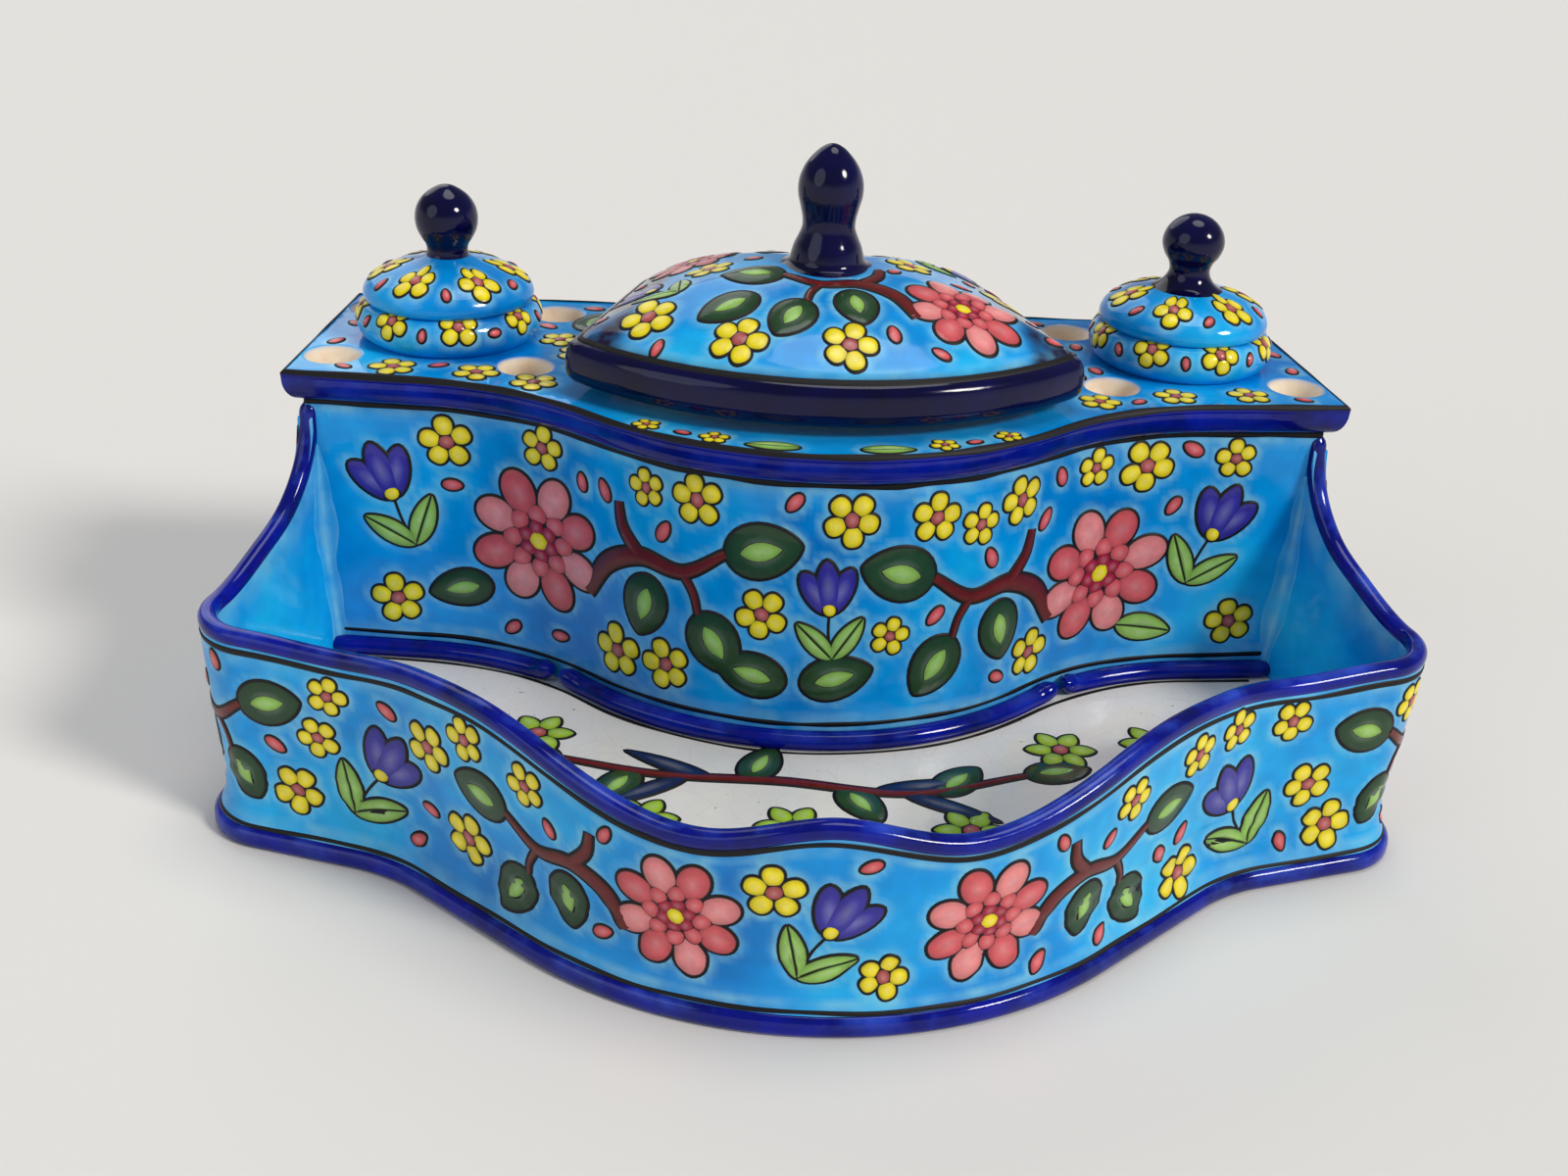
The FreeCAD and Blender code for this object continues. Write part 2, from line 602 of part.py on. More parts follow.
def all_pieces():
    """Every piece by the name of its node."""
    pieces = {
        "foot_rim": foot_rim(),
        "floor_slab": floor_slab(),
        "tray_wall": tray_wall(),
        "tray_rim_bead": rim_bead(),
        "case_front_wall": case_cross_wall(True),
        "case_back_wall": case_cross_wall(False),
        "case_left_wall": case_side(-1),
        "case_right_wall": case_side(1),
        "deck_slab": deck_slab(),
        "deck_moulding": deck_moulding(),
        "stamp_well": well(),
        "centre_lid": cover(),
        "centre_lid_finial": finial(),
    }
    for side, (low_x, high_x) in coil_spans().items():
        pieces["floor_coil_" + side] = floor_coil(low_x, high_x)
    for side, centre in pot_centres.items():
        pieces[side + "_ink_pot"] = pot(centre)
        pieces[side + "_pot_lid"] = pot_lid(centre)
        pieces[side + "_lid_knob"] = lid_knob(centre)
    return pieces


os.makedirs("parts", exist_ok=True)
for name, shape in all_pieces().items():
    shape.translate(frame_shift)
    shape.exportStep("parts/" + name + ".step")
    print("%-18s solids %d valid %s" % (name, len(shape.Solids), shape.isValid()))
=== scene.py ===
"""Looks of a glazed and enamelled ceramic inkstand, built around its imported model.

Shapes are worked out in millimetres, with Y = 0 on the line through the deck's front corners, and are moved
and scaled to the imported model's frame when a mesh is made.
"""
import math
import random

import bpy
import numpy as np
from mathutils import Matrix, Vector, geometry, kdtree


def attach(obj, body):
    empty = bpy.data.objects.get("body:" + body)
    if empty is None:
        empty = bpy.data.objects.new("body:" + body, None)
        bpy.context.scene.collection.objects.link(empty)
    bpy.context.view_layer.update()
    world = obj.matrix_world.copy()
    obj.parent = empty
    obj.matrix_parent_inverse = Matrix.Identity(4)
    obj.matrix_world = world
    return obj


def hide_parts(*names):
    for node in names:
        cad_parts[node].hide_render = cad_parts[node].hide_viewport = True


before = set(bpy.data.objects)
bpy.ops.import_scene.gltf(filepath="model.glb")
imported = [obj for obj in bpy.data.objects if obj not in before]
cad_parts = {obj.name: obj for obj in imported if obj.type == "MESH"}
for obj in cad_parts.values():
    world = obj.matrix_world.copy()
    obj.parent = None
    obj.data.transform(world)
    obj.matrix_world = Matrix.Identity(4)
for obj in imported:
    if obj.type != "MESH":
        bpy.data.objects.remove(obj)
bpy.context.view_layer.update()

MM = 0.001

# Sizes of the stand in millimetres, the same as in the part's source
DECK_FRONT, DECK_BACK, DECK_DEPTH, DECK_Z = 260.0, 246.4, 64.0, 98.0
DECK_KNEE, DECK_WING, DECK_FLANK = 149.0, 4.8, 41.7
MOULDING, CASE_WALL, SLAB_Z, LIP_Z = 4.0, 5.5, 86.0, 95.8
TRAY_FLARE, TRAY_WING_SPAN, TRAY_REACH, TRAY_RADIUS = 19.4, 50.0, 67.0, 16.0
TRAY_WING, TRAY_FLANK, EAR_STEP = 17.0, 41.0, 2.0
FLOOR_Z, FOOT_LEDGE, RIM_Z = 22.0, 0.8, 52.0
POT_Y, SOCKET_GAP, SOCKET_EDGE, SOCKET_FRONT, SOCKET_BACK = 33.0, 47.6, 8.7, 21.6, 19.1
CASE_TOP, WALL_FOOT_INSET, WALL_RIM_INSET = 89.6, 6.8, 4.2
POT_HOLE, COLLAR_REACH, SOCKET_MOUTH, FRONT_ART_HALF, COIL_BREAK_X = 17.6, 23.5, 7.5, 114.0, 64.0
COVER_Z, LID_Z = DECK_Z + 3.0, DECK_Z + 9.4
KNOB_Z, FINIAL_Z = LID_Z + 11.2, COVER_Z + 25.0

# Radii of the small flowers and buds on the upright walls, and points of a line drawn by hand
FLOWER_SIZES, BUD_SIZES, LINE_POINTS = (6.0, 6.9), (2.3, 2.9), 200


def srgb(red, green, blue):
    """A colour given as screen values, as linear light."""
    return tuple(((c / 255 + 0.055) / 1.055) ** 2.4 if c > 10 else c / 3295 for c in (red, green, blue))


YELLOW, ROSE_EYE = srgb(242, 222, 34), srgb(178, 86, 84)
CORAL, ROSE, PALE_CORAL = srgb(214, 92, 98), srgb(168, 36, 62), srgb(232, 138, 138)
VIOLET, DARK_LEAF, PALE_LEAF = srgb(58, 52, 158), srgb(42, 74, 46), srgb(146, 192, 92)
BROWN, LINE, LIME = srgb(104, 30, 28), srgb(16, 13, 15), srgb(160, 196, 56)
INK_BLUE = srgb(22, 40, 84)


# Outlines

def unit(vector):
    return vector / np.linalg.norm(vector)


def units(rows):
    """Each row made one long."""
    return rows / np.linalg.norm(rows, axis=1)[:, None]


def run_lengths(points):
    """Lengths along a line of points, from its first point to each."""
    return np.append(0, np.cumsum(np.linalg.norm(np.diff(points, axis=0), axis=1)))


def at_level(flat, z):
    """Points of a plan, all at one height."""
    return np.column_stack([flat, np.full(len(flat), z)])


def round_angles(count):
    """Even angles once round, the last left out."""
    return np.linspace(0, 2 * math.pi, count, endpoint=False)


def polar(u, v, reach, angle):
    """The point at a distance and an angle from another."""
    return u + reach * math.cos(angle), v + reach * math.sin(angle)


def right_of(tangents):
    """Directions to the right of a line with these tangents."""
    tangents = tangents / np.maximum(np.linalg.norm(tangents, axis=1), 1e-6)[:, None]
    return np.stack([tangents[:, 1], -tangents[:, 0]], 1)


def level_surface(z):
    """A flat surface at a height, with the plan as its coordinates."""
    return lambda u, v, height: np.column_stack([u, v, z + height + np.zeros(len(u))])


def edge_normal(start, end):
    """Outward direction of an edge on an outline drawn counter-clockwise."""
    along = unit(end - start)
    return np.array([along[1], -along[0]])


def mirrored(points):
    return [np.array([-x, y]) for x, y in reversed(points)]


def inset_corner(before, here, after, inset):
    first, second = edge_normal(before, here), edge_normal(here, after)
    return here - (first + second) * inset / (1 + first @ second)


def serpentine(knee, wing, flank, bow_share, knee_share):
    """Tip of a bow front before rounding, and the radii of the bow and of its knees."""
    flank, wing = math.radians(flank), math.radians(wing)
    length = abs(knee[0]) / math.cos(flank)
    tip = np.array([0, knee[1] - abs(knee[0]) * math.tan(flank)])
    return tip, bow_share * length / math.tan(flank), knee_share * length / math.tan((flank - wing) / 2)


def drop(span, angle):
    return span * math.tan(math.radians(angle))


deck_left = [np.array([-DECK_BACK / 2, DECK_DEPTH]), np.array([-DECK_FRONT / 2, 0.0]),
             np.array([-DECK_KNEE / 2, -drop((DECK_FRONT - DECK_KNEE) / 2, DECK_WING)])]
deck_tip, deck_bow, deck_knee = serpentine(deck_left[2], DECK_WING, DECK_FLANK, 0.72, 0.24)
deck_points = deck_left + [deck_tip] + mirrored(deck_left)
deck_radii = [0, 0, deck_knee, deck_bow, deck_knee, 0, 0]
case_corner = inset_corner(deck_points[0], deck_points[1], deck_points[2], MOULDING)
case_back = inset_corner(deck_points[-1], deck_points[0], deck_points[1], MOULDING)
tray_ear = case_corner - np.array([EAR_STEP, 0])
tray_half = TRAY_FLARE - tray_ear[0]
tray_knee = np.array([TRAY_WING_SPAN - tray_half, -TRAY_REACH])
tray_corner = np.array([-tray_half, drop(TRAY_WING_SPAN, TRAY_WING) - TRAY_REACH])
tray_tip, tray_bow, tray_knee_radius = serpentine(tray_knee, TRAY_WING, TRAY_FLANK, 0.64, 0.075)
tray_left = [case_back, tray_ear, tray_corner, tray_knee]
tray_points = tray_left + [tray_tip] + mirrored(tray_left)
tray_radii = [0, 0, TRAY_RADIUS, tray_knee_radius, tray_bow, tray_knee_radius, TRAY_RADIUS, 0, 0]


def stations(points, radii, first, last, step, mitre_ends=True, slide=False):
    """Places along an outline from one corner to another, and how each moves when the outline grows by one.

    With slide, places on a straight run keep their share of it.
    """
    count = len(points)
    runs = []
    for k in range(first, last + 1):
        before, here, after = (points[(k + shift) % count] for shift in (-1, 0, 1))
        normal_in, normal_out = edge_normal(before, here), edge_normal(here, after)
        radius = radii[k % count]
        if radius == 0:
            growth = (normal_in + normal_out) / (1 + normal_in @ normal_out)
            if not mitre_ends and k in (first, last):
                growth = normal_out if k == first else normal_in
            runs.append(([here], [growth], normal_out))
            continue
        side = math.copysign(1, normal_in[0] * normal_out[1] - normal_in[1] * normal_out[0])
        turn = math.acos(float(np.clip(normal_in @ normal_out, -1, 1)))
        centre = here + unit(before - here) * radius * math.tan(turn / 2) - normal_in * radius * side
        steps = max(4, math.ceil(radius * turn / step))
        angles = math.atan2(normal_in[1], normal_in[0]) + side * turn * np.linspace(0, 1, steps + 1)
        normals = np.stack([np.cos(angles), np.sin(angles)], 1)
        runs.append((list(centre + normals * radius * side), list(normals), normal_out))
    places, growths = [], []
    for index, (spots, normals, normal_out) in enumerate(runs):
        places += spots
        growths += normals
        if index + 1 < len(runs):
            start, end = spots[-1], runs[index + 1][0][0]
            gaps = math.ceil(np.linalg.norm(end - start) / step)
            places += [start + (end - start) * i / gaps for i in range(1, gaps)]
            slides = [normals[-1], runs[index + 1][1][0]] if slide else [normal_out, normal_out]
            growths += [slides[0] + (slides[1] - slides[0]) * i / gaps for i in range(1, gaps)]
    places, growths = np.array(places), np.array(growths)
    keep = np.append(True, np.linalg.norm(np.diff(places, axis=0), axis=1) > 1e-4)
    return places[keep], growths[keep]


def closed_stations(points, radii, step, slide=False):
    """Places and growths once round a closed outline."""
    places, growths = stations(points, radii, 0, len(points), step, slide=slide)
    return places[:-1], growths[:-1]


class Path:
    """An open outline that can be read at any length along it, counted from its middle."""

    def __init__(self, places, growths):
        self.places, self.growths = places, growths
        lengths = run_lengths(places)
        self.along = lengths - lengths[-1] / 2
        self.end = self.along[-1]

    def at(self, u, inset=0.0):
        place = np.stack([np.interp(u, self.along, self.places[:, i]) for i in (0, 1)], -1)
        growth = np.stack([np.interp(u, self.along, self.growths[:, i]) for i in (0, 1)], -1)
        return place - growth * np.asarray(inset)[..., None]

    def outward(self, u):
        """Level directions out of the outline, as long as it moves when it grows by one."""
        return at_level(self.at(u, -1.0) - self.at(u, 0.0), 0.0)


def curve(xs, ys, x):
    """Smooth curve through points with rising xs, read at x."""
    xs, ys = np.asarray(xs, float), np.asarray(ys, float)
    slopes = np.gradient(ys, xs)
    x = np.clip(x, xs[0], xs[-1])
    i = np.clip(np.searchsorted(xs, x) - 1, 0, len(xs) - 2)
    span = xs[i + 1] - xs[i]
    t = (x - xs[i]) / span
    return ((1 + 2 * t) * (1 - t) ** 2 * ys[i] + t * (1 - t) ** 2 * span * slopes[i]
            + t * t * (3 - 2 * t) * ys[i + 1] + t * t * (t - 1) * span * slopes[i + 1])


def smooth_line(points, step):
    """A smooth line through a few points, cut into short steps."""
    points = np.asarray(points, float)
    lengths = run_lengths(points)
    x = np.linspace(0, lengths[-1], max(3, math.ceil(lengths[-1] / step) + 1))
    return np.stack([curve(lengths, points[:, i], x) for i in range(points.shape[1])], 1)


gallery_path = Path(*stations(tray_points, tray_radii, 1, 7, 1.5, mitre_ends=False))
case_paths = {"front": Path(*stations(deck_points, deck_radii, 1, 5, 1.5)),
              "left": Path(*stations(deck_points, deck_radii, 0, 1, 2.0)),
              "right": Path(*stations(deck_points, deck_radii, 5, 6, 2.0)),
              "back": Path(*stations(deck_points, deck_radii, 6, 7, 2.0))}
stand_front = gallery_path.places[:, 1].min() - FOOT_LEDGE
SHIFT_Y = -(DECK_DEPTH + stand_front) / 2
deck_slant = (DECK_FRONT - DECK_BACK) / (2 * DECK_DEPTH)
POT_X = DECK_FRONT / 2 - POT_Y * deck_slant - SOCKET_EDGE - SOCKET_GAP / 2
SIDES = {"left": -1, "right": 1}


def socket_places(sign):
    """Centres of the pen sockets around one pot."""
    places = []
    for across in (-SOCKET_GAP / 2, SOCKET_GAP / 2):
        front = (across + SOCKET_FRONT * deck_slant, drop(across, DECK_WING) - SOCKET_FRONT)
        back = (across - SOCKET_BACK * deck_slant, SOCKET_BACK)
        places += [np.array([sign * (POT_X + x), POT_Y + y]) for x, y in (front, back)]
    return places


# Meshes

def make_object(name, verts, faces, material_list, face_slots=None, smooth_angle=50.0):
    """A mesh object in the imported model's frame from points in millimetres."""
    verts = (np.asarray(verts, float) + np.array([0, SHIFT_Y, 0])) * MM
    mesh = bpy.data.meshes.new(name)
    mesh.from_pydata(verts.tolist(), [], [list(map(int, face)) for face in faces])
    for entry in material_list:
        mesh.materials.append(entry)
    if face_slots is not None:
        mesh.polygons.foreach_set("material_index", np.asarray(face_slots, np.int32))
    mesh.polygons.foreach_set("use_smooth", [True] * len(mesh.polygons))
    mesh.set_sharp_from_angle(angle=math.radians(smooth_angle))
    mesh.validate()
    mesh.update()
    piece = bpy.data.objects.new(name, mesh)
    bpy.context.scene.collection.objects.link(piece)
    return piece


def skin(sections, closed=False):
    """Points of a closed skin through equal loops in one list, and its faces."""
    sections = np.asarray(sections, float)
    count, size = sections.shape[:2]
    index = np.arange(count * size).reshape(count, size)
    rows = index if not closed else np.vstack([index, index[:1]])
    ahead = np.roll(rows, -1, axis=1)
    quads = np.stack([rows[:-1], ahead[:-1], ahead[1:], rows[1:]], -1).reshape(-1, 4).tolist()
    if not closed:
        quads += [index[0][::-1].tolist(), index[-1].tolist()]
    return sections.reshape(-1, 3), quads


def turn_out(verts, faces):
    """The faces, reversed if the skin they close is inside out."""
    verts = np.asarray(verts, float)
    corners = np.array([(face[0], face[i], face[i + 1]) for face in faces for i in range(1, len(face) - 1)])
    first, second, third = (verts[corners[:, i]] for i in range(3))
    volume = np.einsum("ij,ij->", first, np.cross(second, third))
    return faces if volume > 0 else [face[::-1] for face in faces]


def skin_object(name, loops, material_list, closed=False, **settings):
    """A mesh object whose closed skin runs through equal loops of points."""
    verts, faces = skin(loops, closed)
    return make_object(name, verts, turn_out(verts, faces), material_list, **settings)


def band(places, growths, section):
    """Loops of a section, given as pairs of reach and height, carried round a closed outline."""
    return np.stack([at_level(places + growths * out, z) for out, z in section], 1)


def nearest(known, spots):
    """Distance from each spot to the nearest of the known points."""
    tree = kdtree.KDTree(len(known))
    for i, (x, y) in enumerate(known):
        tree.insert((x, y, 0), i)
    tree.balance()
    return np.array([tree.find((x, y, 0))[2] for x, y in spots])


def set_tint(piece, tints):
    layer = piece.data.attributes.new("tint", "FLOAT_COLOR", "POINT")
    layer.data.foreach_set("color", np.column_stack([tints, np.ones(len(tints))]).astype(np.float32).ravel())


def set_attribute(piece, name, values):
    layer = piece.data.attributes.new(name, "FLOAT", "POINT")
    layer.data.foreach_set("value", np.asarray(values, np.float32))


def dress(piece, body, slot, *nodes):
    """Rides a piece on its body, in place of its solids."""
    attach(piece, body)
    if nodes:
        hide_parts(*nodes)


# Materials

class Shader:
    """A node material built step by step around one glossy shader."""

    def __init__(self, name, roughness, shine=0.3):
        self.material = bpy.data.materials.new(name)
        self.material.use_nodes = True
        self.tree = self.material.node_tree
        self.gloss = self.tree.nodes["Principled BSDF"]
        self.gloss.inputs["Roughness"].default_value = roughness
        self.gloss.inputs["Specular IOR Level"].default_value = shine
        self.place = self.tree.nodes.new("ShaderNodeTexCoord").outputs["Object"]

    def node(self, kind, links=(), **settings):
        node = self.tree.nodes.new(kind)
        for name, value in settings.items():
            setattr(node, name, value)
        for socket, value in dict(links).items():
            if isinstance(value, bpy.types.NodeSocket):
                self.tree.links.new(value, node.inputs[socket])
            else:
                node.inputs[socket].default_value = value
        return node

    def noise(self, size_mm, detail, rough=0.5):
        settings = {"Vector": self.place, "Scale": 1 / (size_mm * MM), "Detail": detail, "Roughness": rough}
        return self.node("ShaderNodeTexNoise", settings).outputs["Fac"]

    def ramp(self, value, *stops):
        node = self.node("ShaderNodeValToRGB", {"Fac": value})
        band = node.color_ramp
        while len(band.elements) < len(stops):
            band.elements.new(0.5)
        for element, (position, colour) in zip(band.elements, stops):
            element.position = position
            element.color = (*colour, 1) if isinstance(colour, tuple) else (colour, colour, colour, 1)
        return node.outputs["Color"]

    def attribute(self, name, kind="Fac"):
        return self.node("ShaderNodeAttribute", attribute_name=name).outputs[kind]

    def math(self, operation, first, second, clamp=False):
        node = self.node("ShaderNodeMath", {0: first, 1: second}, operation=operation, use_clamp=clamp)
        return node.outputs["Value"]

    def mix(self, share, first, second, blend="MIX"):
        first, second = ((*value, 1) if isinstance(value, tuple) else value for value in (first, second))
        links = {0: share, 6: first, 7: second}
        return self.node("ShaderNodeMix", links, data_type="RGBA", blend_type=blend).outputs[2]

    def colour(self, value):
        self.tree.links.new(value, self.gloss.inputs["Base Color"])

    def rough(self, value):
        self.tree.links.new(value, self.gloss.inputs["Roughness"])

    def bump(self, height, distance_mm, strength=1.0):
        settings = {"Height": height, "Distance": distance_mm * MM, "Strength": strength}
        node = self.node("ShaderNodeBump", settings)
        self.tree.links.new(node.outputs["Normal"], self.gloss.inputs["Normal"])


def turquoise_glaze():
    """Uneven cerulean glaze, paler beside the black lines, dark on hips and bare inside the pen sockets, with
    painted shade that turns the bare clay browner deeper down.
    """
    s = Shader("turquoise_glaze", 0.1)
    cloud = s.noise(52, 4, 0.55)
    ground = s.ramp(cloud, (0.30, srgb(0, 112, 196)), (0.52, srgb(2, 152, 230)), (0.74, srgb(30, 192, 246)))
    mottle = s.ramp(s.noise(4.5, 3), (0.35, 0.86), (0.7, 1.08))
    ground = s.mix(0.5, ground, mottle, "MULTIPLY")
    edge = s.math("MULTIPLY", s.attribute("halo"), s.ramp(s.noise(8, 2), (0.3, 0.12), (0.7, 0.7)))
    ground = s.mix(edge, ground, srgb(150, 216, 226))
    hip = s.math("MULTIPLY", s.attribute("hip"), s.ramp(s.noise(6, 3), (0.3, 0.6), (0.6, 1.0)))
    ground = s.mix(hip, ground, srgb(30, 22, 52))
    bare = s.attribute("bare")
    bisque = s.ramp(s.noise(7, 3), (0.3, srgb(222, 196, 164)), (0.7, srgb(240, 228, 208)))
    # Bare values above one are painted shade: the socket walls turn brown deeper down, as if in shadow.
    deep = s.math("SUBTRACT", bare, 1.0, True)
    bisque = s.mix(deep, bisque, srgb(150, 98, 62))
    shown = s.math("MINIMUM", bare, 1.0)
    s.colour(s.mix(shown, ground, bisque))
    s.rough(s.mix(shown, s.ramp(s.noise(14, 2), (0.3, 0.06), (0.75, 0.14)), (0.8, 0.8, 0.8)))
    s.bump(s.noise(11, 2), 0.5, 0.3)
    return s.material


def cobalt_glaze(name, deep, mid, thin):
    """Dark blue glaze that breaks to a lighter blue where it runs thin."""
    s = Shader(name, 0.1)
    ground = s.ramp(s.noise(16, 3, 0.6), (0.32, deep), (0.7, mid))
    run = s.math("MULTIPLY", s.attribute("thin"), s.ramp(s.noise(12, 3, 0.6), (0.45, 0.0), (0.7, 0.8)))
    s.colour(s.mix(run, ground, thin))
    s.rough(s.ramp(s.noise(12, 2), (0.3, 0.06), (0.75, 0.15)))
    s.bump(s.noise(10, 2), 0.5, 0.3)
    return s.material


def cream_glaze():
    """Off-white glaze with fine crackle and a few specks."""
    s = Shader("cream_glaze", 0.12)
    ground = s.ramp(s.noise(40, 4), (0.3, srgb(214, 214, 210)), (0.7, srgb(234, 230, 222)))
    settings = {"Vector": s.place, "Scale": 1 / (6.5 * MM)}
    cells = s.node("ShaderNodeTexVoronoi", settings, feature="DISTANCE_TO_EDGE")
    crackle = s.ramp(cells.outputs["Distance"], (0.0, 0.93), (0.03, 1.0))
    ground = s.mix(1.0, ground, crackle, "MULTIPLY")
    specks = s.ramp(s.noise(1.6, 1), (0.19, 1.0), (0.25, 0.0))
    s.colour(s.mix(specks, ground, srgb(150, 140, 128)))
    s.bump(s.noise(12, 2), 0.4, 0.3)
    return s.material


def bare_clay():
    """Unglazed fired clay."""
    s = Shader("bare_clay", 0.8)
    s.colour(s.ramp(s.noise(6, 5, 0.7), (0.3, srgb(196, 154, 116)), (0.7, srgb(222, 190, 152))))
    s.bump(s.noise(0.9, 3), 0.2, 0.6)
    return s.material


def enamel():
    """Raised coloured enamel with its black outlines, from the colour kept on each point."""
    s = Shader("enamel", 0.1)
    shade = s.ramp(s.noise(3.2, 3), (0.3, 0.78), (0.72, 1.12))
    s.colour(s.mix(0.7, s.attribute("tint", "Color"), shade, "MULTIPLY"))
    level = s.node("ShaderNodeRGBToBW", {"Color": s.attribute("tint", "Color")}).outputs["Val"]
    s.rough(s.ramp(level, (0.012, 0.55), (0.03, 0.14)))
    s.bump(s.noise(2.4, 2), 0.12, 0.5)
    return s.material


TURQUOISE = turquoise_glaze()
COBALT = cobalt_glaze("cobalt_glaze", srgb(3, 8, 88), srgb(6, 22, 156), srgb(52, 84, 206))
NAVY = cobalt_glaze("navy_glaze", srgb(4, 4, 36), srgb(9, 9, 68), srgb(36, 40, 116))
CREAM, CLAY, ENAMEL = cream_glaze(), bare_clay(), enamel()


# Enamel

class Art:
    """Raised enamel on one surface, drawn in that surface's own flat coordinates."""

    def __init__(self, surface, seed):
        self.surface = surface
        self.dice = random.Random(seed)
        self.verts, self.faces, self.tints, self.edge = [], [], [], [np.zeros((0, 2))]
        self.count = 0

    def add(self, flat, heights, tints, faces):
        place = self.surface(flat[:, 0], flat[:, 1], heights)
        self.verts.append(place)
        self.tints.append(tints)
        self.faces += [[i + self.count for i in face] for face in faces]
        self.count += len(place)

    def cell(self, loop, tint, lift=0.0, line=0.8, light=0.25):
        """One cell of enamel inside its black outline."""
        loop = np.asarray(loop, float)
        ahead, behind = np.roll(loop, -1, axis=0), np.roll(loop, 1, axis=0)
        if (loop[:, 0] * ahead[:, 1] - loop[:, 1] * ahead[:, 0]).sum() < 0:
            loop = loop[::-1]
            ahead, behind = np.roll(loop, -1, axis=0), np.roll(loop, 1, axis=0)
        out = right_of(ahead - behind)
        middle = loop.mean(axis=0)
        rings = [loop + out * line, loop + out * line * 0.9, loop + out * 0.06, loop - out * 0.14,
                 middle + (loop - middle) * 0.62, middle[None]]
        heights = [-0.3, 0.1 + lift, 0.2 + lift, 0.24 + lift, 0.37 + lift, 0.42 + lift]
        base = np.array(tint)
        tones = [np.array(LINE)] * 3 + [base * 0.72, base, base + (1 - base) * light * 0.5]
        size = len(loop)
        flat = np.concatenate(rings)
        high = np.concatenate([np.full(len(ring), height) for ring, height in zip(rings, heights)])
        colours = np.concatenate([np.tile(tone, (len(ring), 1)) for ring, tone in zip(rings, tones)])
        faces = [list(range(size))[::-1]]
        for row in range(4):
            a, b = row * size, (row + 1) * size
            faces += [[a + i, a + (i + 1) % size, b + (i + 1) % size, b + i] for i in range(size)]
        top = 4 * size
        faces += [[top + i, top + (i + 1) % size, top + size] for i in range(size)]
        self.add(flat, high, colours, faces)
        self.edge.append(np.concatenate([rings[0], rings[4], rings[5]]))

    def ribbon(self, points, widths, tint=None, line=0.75, step=1.2):
        """A branch with black edges, or a plain black line where no tint is given."""
        course = smooth_line(np.column_stack([np.asarray(points, float), widths]), step)
        spine, half = course[:, :2], course[:, 2] / 2
        out = right_of(np.gradient(spine, axis=0))
        black = np.array(LINE)
        if tint is None:
            profile = [(1.0, 0, -0.3, black), (0.85, 0, 0.1, black), (0, 0, 0.2, black)]
        else:
            base = np.array(tint)
            profile = [(1.0, line, -0.3, black), (1.0, line * 0.9, 0.1, black), (1.0, 0.06, 0.2, black),
                       (0.86, 0, 0.25, base * 0.75), (0.45, 0, 0.36, base), (0, 0, 0.39, base * 1.1)]
        profile = profile + [(-share, -extra, height, tone) for share, extra, height, tone in profile[-2::-1]]
        size = len(profile)
        flat = np.concatenate([[spot + side * (width * share + extra) for share, extra, _, _ in profile]
                               for spot, side, width in zip(spine, out, half)])
        high = np.tile([row[2] for row in profile], len(spine))
        colours = np.tile(np.array([row[3] for row in profile]), (len(spine), 1))
        faces = skin(np.zeros((len(spine), size, 3)))[1]
        self.add(flat, high, colours, [face[::-1] for face in faces])
        rim = out * (half + line)[:, None]
        self.edge.append(np.concatenate([spine + rim, spine - rim]))

    def blade(self, u, v, turn, length, width, root, tip, count=22, side=0):
        """Outline of a petal or leaf; root and tip say how pointed its ends are."""
        s = (1 - np.cos(np.linspace(0, math.pi, count // 2 + 1))) / 2
        half = s ** root * (1 - s) ** tip
        half = half / half.max() * width / 2
        upper = np.column_stack([s * length, half if side >= 0 else half * 0])
        lower = np.column_stack([s * length, -half if side <= 0 else half * 0])[1:-1][::-1]
        loop = np.concatenate([upper, lower])
        spin = np.array([[math.cos(turn), -math.sin(turn)], [math.sin(turn), math.cos(turn)]])
        return loop @ spin.T + np.array([u, v])

    def disc(self, u, v, radius, tint, lift=0.0, count=16, line=0.6, wobble=0.06):
        phase = self.dice.random() * 6
        angles = round_angles(count)
        r = radius * (1 + wobble * np.sin(2 * angles + phase))
        self.cell(np.column_stack([u + r * np.cos(angles), v + r * np.sin(angles)]), tint, lift, line)

    def blossom(self, u, v, radius, turn, petals=5):
        """Small yellow flower."""
        for k in range(petals):
            angle = turn + 2 * math.pi * k / petals + self.dice.uniform(-0.08, 0.08)
            root = polar(u, v, radius * 0.24, angle)
            length = radius * self.dice.uniform(0.72, 0.8)
            loop = self.blade(*root, angle, length, radius * 3.5 / petals, 0.5, 0.4)
            self.cell(loop, YELLOW, 0.0, 0.35 + 0.055 * radius)
        self.disc(u, v, radius * 0.28, ROSE_EYE, 0.1, 14)

    def rosette(self, u, v, radius, turn):
        """Large coral flower with a rose heart."""
        for k in range(8):
            angle = turn + math.pi * k / 4 + self.dice.uniform(-0.05, 0.05)
            root = polar(u, v, radius * 0.36, angle)
            length = radius * self.dice.uniform(0.58, 0.66)
            loop = self.blade(*root, angle, length, radius * 0.47, 0.55, 0.5, 26)
            self.cell(loop, CORAL if k % 2 else PALE_CORAL)
        beads = ((8, 0.5, 0.38, 0.14, CORAL, 0.08), (6, 0, 0.2, 0.11, ROSE, 0.14))
        for count, phase, reach, size, tint, lift in beads:
            for k in range(count):
                angle = turn + 2 * math.pi * (k + phase) / count
                self.disc(*polar(u, v, radius * reach, angle), radius * size, tint, lift, 14)
        self.disc(u, v, radius * 0.13, YELLOW, 0.2, 12)

